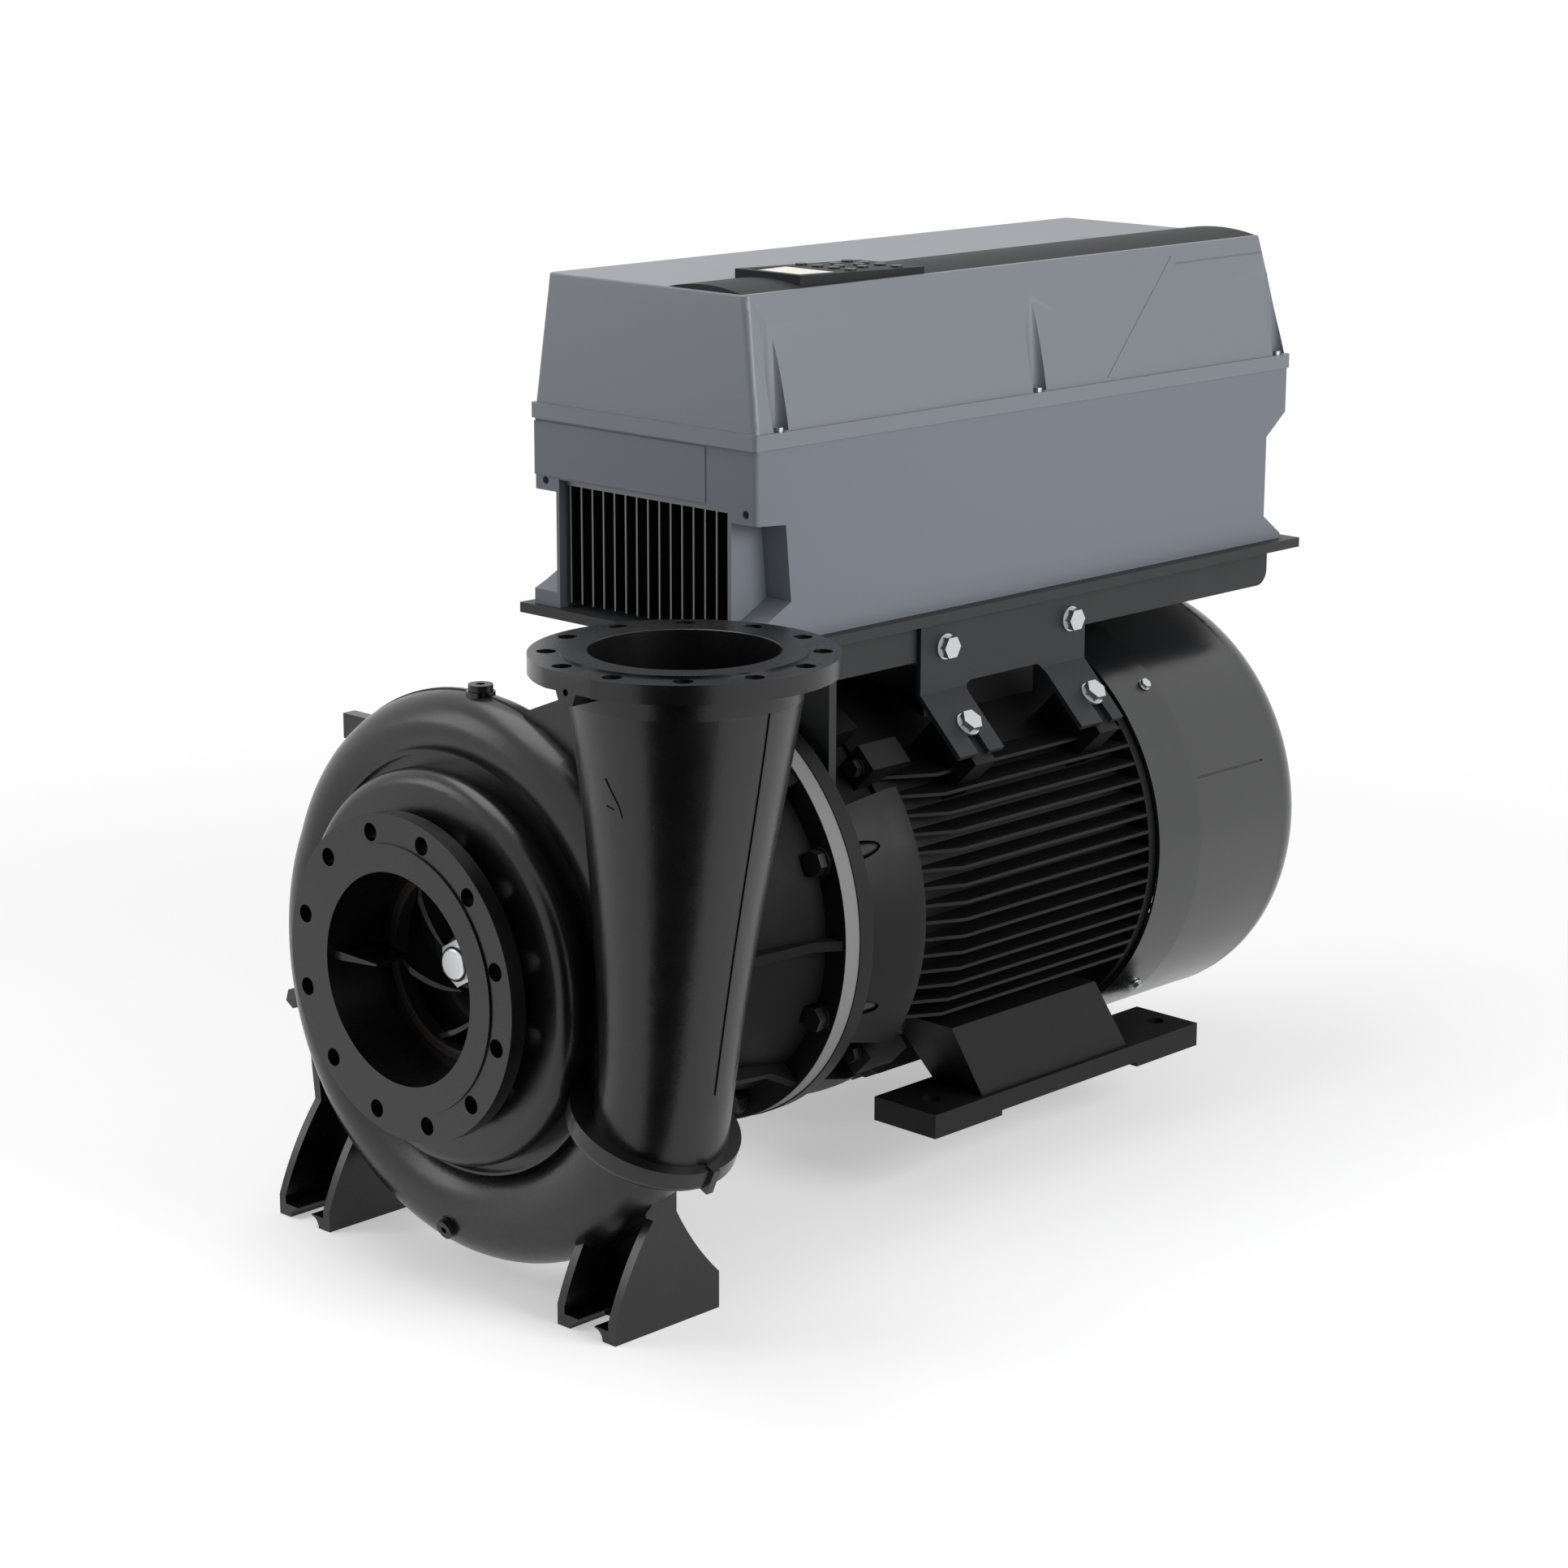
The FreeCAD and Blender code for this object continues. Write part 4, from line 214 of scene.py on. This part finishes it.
# Volute casing: grey cast iron, sand cast with feet and both flanges in one piece, then
# sprayed with satin black enamel. The sand's grain shows through the thin enamel as a
# fine orange peel, and the gloss varies a little from patch to patch.
def surface(name, colour, roughness, metallic=0.0, specular=0.5, grain=None, depth=0.0,
            mottle=0.0):
    """A paint, plastic or metal. The grain's width and depth are in millimetres."""
    material = bpy.data.materials.new(name)
    material.use_nodes = True
    tree = material.node_tree
    shader = tree.nodes["Principled BSDF"]
    shader.inputs["Base Color"].default_value = linear(colour)
    shader.inputs["Metallic"].default_value = metallic
    shader.inputs["Roughness"].default_value = roughness
    shader.inputs["Specular IOR Level"].default_value = specular
    place = add(tree, "ShaderNodeTexCoord")
    if mottle:
        patches_per_metre = 14.0
        gloss_spread = 0.1
        cloud = add(tree, "ShaderNodeTexNoise", {"Vector": place.outputs["Object"],
                                                 "Scale": patches_per_metre,
                                                 "Detail": 4.0, "Roughness": 0.6})
        tint = add(tree, "ShaderNodeHueSaturation", {"Color": linear(colour)})
        spread = add(tree, "ShaderNodeMapRange", {"Value": cloud.outputs["Fac"],
                                                  "From Min": 0.3, "From Max": 0.7,
                                                  "To Min": 1 - mottle, "To Max": 1 + mottle})
        tree.links.new(spread.outputs[0], tint.inputs["Value"])
        tree.links.new(tint.outputs["Color"], shader.inputs["Base Color"])
        gloss = add(tree, "ShaderNodeMapRange", {"Value": cloud.outputs["Fac"],
                                                 "From Min": 0.3, "From Max": 0.7,
                                                 "To Min": roughness * (1 - gloss_spread),
                                                 "To Max": roughness * (1 + gloss_spread)})
        tree.links.new(gloss.outputs[0], shader.inputs["Roughness"])
    if grain:
        fine = add(tree, "ShaderNodeTexNoise", {"Vector": place.outputs["Object"],
                                                "Scale": 1000 / grain, "Detail": 3.0,
                                                "Roughness": 0.55})
        bump = add(tree, "ShaderNodeBump", {"Height": fine.outputs["Fac"], "Strength": 1.0,
                                            "Distance": depth / 1000})
        tree.links.new(bump.outputs["Normal"], shader.inputs["Normal"])
    return material


body_of = {}
for body, members in frame["record"]["behaviour"]["bodies"].items():
    for member in members:
        body_of[member] = body


def finished(name, material, smooth_angle=32, weighted=True):
    """A merged copy of a solid, smooth between its sharp edges, that stands for it."""
    solid = nodes[name]
    mesh = solid.data.copy()
    mesh.name = name + "_finished"
    copy = bpy.data.objects.new(name + "_finished", mesh)
    scene.collection.objects.link(copy)
    shape = bmesh.new()
    shape.from_mesh(mesh)
    bmesh.ops.remove_doubles(shape, verts=shape.verts, dist=0.00002)
    shape.to_mesh(mesh)
    shape.free()
    # The solid's stored normals belong to its loose triangles, not to the merged ones
    mesh.attributes.remove(mesh.attributes["custom_normal"])
    mesh.shade_smooth()
    mesh.set_sharp_from_angle(angle=math.radians(smooth_angle))
    mesh.materials.clear()
    mesh.materials.append(material)
    if weighted:
        even = copy.modifiers.new("flat_faces_stay_flat", "WEIGHTED_NORMAL")
        even.keep_sharp = True
        even.weight = 60
    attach(copy, body_of[name])
    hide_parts(name)
    return copy


casting = surface("satin_black_enamel_on_sand_cast_iron", "#0f0f10", 0.27, grain=4.0,
                  depth=0.1, mottle=0.12)
finished("volute_casing", casting, weighted=False)


# Stool: a cast iron ring with shallow ribs, bolted between the casing and the motor. It is
# brushed with thin matt black, which takes no reflections. The outer rim of its rear flange
# is painted light grey, a painted highlight for the bright edge that the rim catches.
thin_black = surface("matt_black_paint_on_cast_iron", "#0c0c0c", 0.6, specular=0.15,
                     grain=4.0, depth=0.2, mottle=0.15)
tree = thin_black.node_tree
shader = tree.nodes["Principled BSDF"]
place = add(tree, "ShaderNodeTexCoord")
axes = add(tree, "ShaderNodeSeparateXYZ", {"Vector": place.outputs["Object"]})
across = add(tree, "ShaderNodeCombineXYZ", {"X": axes.outputs["X"], "Z": axes.outputs["Z"]})
radius = add(tree, "ShaderNodeVectorMath", {0: across.outputs[0]}, operation="LENGTH")
# Past this radius the rim is painted light grey: a painted highlight on the flange's edge.
rim_depth = 0.001
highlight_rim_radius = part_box("motor_stool")[1][0] - rim_depth
painted_highlight_rim = add(tree, "ShaderNodeMath", {0: radius.outputs["Value"], 1: highlight_rim_radius},
           operation="GREATER_THAN")
painted_tone = shader.inputs["Base Color"].links[0].from_socket
tone = add(tree, "ShaderNodeMix", {0: painted_highlight_rim.outputs[0], 6: painted_tone,
                                   7: linear("#8c8c8c")}, data_type="RGBA")
tree.links.new(tone.outputs[2], shader.inputs["Base Color"])
finished("motor_stool", thin_black)


# Casing cover: the cast iron disc behind the impeller, turned all over and left bare, so
# it is a dull dark grey with a faint turning grain.
machined = surface("bare_grey_cast_iron", "#2a2a2b", 0.5, grain=2.0, depth=0.1)
finished("casing_cover", machined)


# Impeller of thinly coated cast iron, held by a stainless nut, and turning in a bronze
# wear ring. All three are seen through the suction flange, and the nut is the one bright
# spot in there.
iron = surface("thin_coat_on_cast_iron_impeller", "#202022", 0.42, grain=3.0, depth=0.2)
finished("impeller", iron)
steel = surface("turned_stainless_steel", "#d6d7d8", 0.28, metallic=1.0)
finished("impeller_nut", steel)
bronze = surface("wetted_bronze_with_brown_patina", "#2e2822", 0.5, metallic=0.6)
finished("wear_ring", bronze)


# Shafts, key and bearings of turned and ground carbon steel, and the shaft seal's pair of
# lapped faces, one of pale ceramic and one of black carbon. They sit inside, out of sight.
turned_steel = surface("turned_carbon_steel", "#a9abad", 0.35, metallic=1.0)
for name in ("stub_shaft", "motor_shaft", "impeller_key", "drive_end_bearing_outer",
             "drive_end_bearing_inner", "fan_end_bearing_outer", "fan_end_bearing_inner",
             "bearing_balls"):
    finished(name, turned_steel)
ceramic = surface("lapped_ceramic", "#e4e0d4", 0.2)
finished("seal_seat", ceramic)
carbon = surface("lapped_carbon", "#1d1d1d", 0.4)
finished("seal_head", carbon)


# Steel bolts and plugs of the pump and the motor, painted with the castings they hold.
# The paint is thick on their heads, so they are smooth and a little lighter.
painted = surface("black_enamel_on_steel_bolts", "#1a1a1b", 0.35, specular=0.4)
for name in ("casing_bolts", "flange_bolts", "ear_bolts", "casing_plugs"):
    finished(name, painted)


# Motor: shields, finned frame and feet of cast iron in the same black enamel as the pump,
# but smoother and less glossy, with a fainter grain. The plates of the stator and rotor
# and the varnished copper are inside.
enamel = surface("black_enamel_on_motor_castings", "#101011", 0.48, specular=0.22,
                 grain=3.0, depth=0.08, mottle=0.1)
for name in ("drive_end_shield", "stator_frame", "fan_end_shield", "motor_foot_right",
             "motor_foot_left"):
    finished(name, enamel)
laminations = surface("stacked_electrical_steel", "#6a6c70", 0.45, metallic=0.9)
for name in ("stator_core", "rotor_core"):
    finished(name, laminations)
copper = surface("varnished_copper_wire", "#b5683a", 0.35, metallic=0.8)
finished("stator_windings", copper)


# Fan cowl: deep-drawn steel in a smooth powder coat, glossier than the motor, so its
# shoulder catches the white paper. The crease between its cone and its barrel is sharp.
powder = surface("fine_textured_powder_coat", "#17181a", 0.22, specular=0.9, grain=2.4,
                 depth=0.015, mottle=0.05)
cowl = finished("fan_cowl", powder, smooth_angle=18)
crease_y = 1.334
crease_reach = 0.0015
same_place = 0.0001
for line in cowl.data.edges:
    ends = [cowl.data.vertices[i].co.y for i in line.vertices]
    near_crease = max(abs(y - crease_y) for y in ends) < crease_reach
    if near_crease and abs(ends[0] - ends[1]) < same_place:
        line.use_edge_sharp = True


# Fans of the motor and of the drive, and the drive fan's frame: moulded in black
# polyamide, which is dull and even.
moulded_black = surface("moulded_black_polyamide", "#141414", 0.5)
for name in ("cooling_fan", "drive_fan", "drive_fan_frame"):
    finished(name, moulded_black)


# Plate, front support and brackets that carry the drive: folded and cut steel in a
# textured powder coat, nearly black and half matt.
plate_coat = surface("textured_black_powder_coat", "#202123", 0.5, specular=0.4, grain=2.4,
                     depth=0.15, mottle=0.05)
for name in ("drive_base_plate", "front_support_plate", "bracket_right", "bracket_left"):
    finished(name, plate_coat)


# Bright screws: hexagon bolts of the brackets, and the screws of the cowl and the cover,
# zinc plated with a faintly uneven shine.
zinc = surface("zinc_plated_steel", "#c9cbcd", 0.3, metallic=1.0, grain=6.0, depth=0.05)
for name in ("bracket_bolts", "cowl_screws", "cover_screws"):
    finished(name, zinc)


# Drive housing: a cast aluminium box on the plate, with a blanking panel screwed into its
# front. Both have an even blue-grey powder coat with hardly any texture.
grey_coat = surface("grey_powder_coat_on_cast_aluminium", "#767b84", 0.5, specular=0.4,
                    grain=2.0, depth=0.03)
for name in ("drive_housing", "front_blanking_panel"):
    finished(name, grey_coat)


# Drive cover: a drafted hood of injection moulded plastic in the same grey, screwed down
# through deep recesses. It is smoother than the housing, so its top mirrors the surround.
grey_plastic = surface("fine_textured_grey_plastic", "#747982", 0.4, specular=0.75,
                       grain=2.0, depth=0.02)
finished("drive_cover", grey_plastic)


# Heat sink: extruded aluminium fins, anodised black. The fins' front edges are sawn after
# anodising, so they show the bare metal.
anodised_black = "#232325"
sawn_grey = "#6d6e70"
anodised = surface("black_anodised_aluminium", anodised_black, 0.42, metallic=0.6)
tree = anodised.node_tree
shader = tree.nodes["Principled BSDF"]
place = add(tree, "ShaderNodeTexCoord")
axes = add(tree, "ShaderNodeSeparateXYZ", {"Vector": place.outputs["Object"]})
sawn_depth = 0.0006
sawn_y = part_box("heat_sink")[0][1] + sawn_depth
sawn = add(tree, "ShaderNodeMath", {0: axes.outputs["Y"], 1: sawn_y}, operation="LESS_THAN")
tone = add(tree, "ShaderNodeMix", {0: sawn.outputs[0], 6: linear(anodised_black),
                                   7: linear(sawn_grey)}, data_type="RGBA")
tree.links.new(tone.outputs[2], shader.inputs["Base Color"])
finished("heat_sink", anodised)


# Band along the cover's top and the keypad that is let into it: moulded in dark plastic,
# with a lit display behind a smooth window and twelve black push keys.
band_plastic = surface("dark_moulded_plastic", "#2c2e2f", 0.6, specular=0.15, grain=2.0,
                       depth=0.02)
for name in ("cover_band", "keypad_panel"):
    finished(name, band_plastic)
cream = surface("lit_cream_display", "#f3efe0", 0.25)
finished("keypad_display", cream)
key_plastic = surface("moulded_black_keys", "#1b1b1c", 0.4)
for name in sorted(nodes):
    if name.startswith("key_"):
        finished(name, key_plastic)


# Inside the drive: a circuit board under green solder mask, and the capacitors' drawn
# aluminium cans beside it.
board = surface("green_solder_mask", "#0f3d1f", 0.35)
finished("circuit_board", board)
can = surface("drawn_aluminium_cans", "#9da1a6", 0.35, metallic=1.0)
finished("capacitor_bank", can)
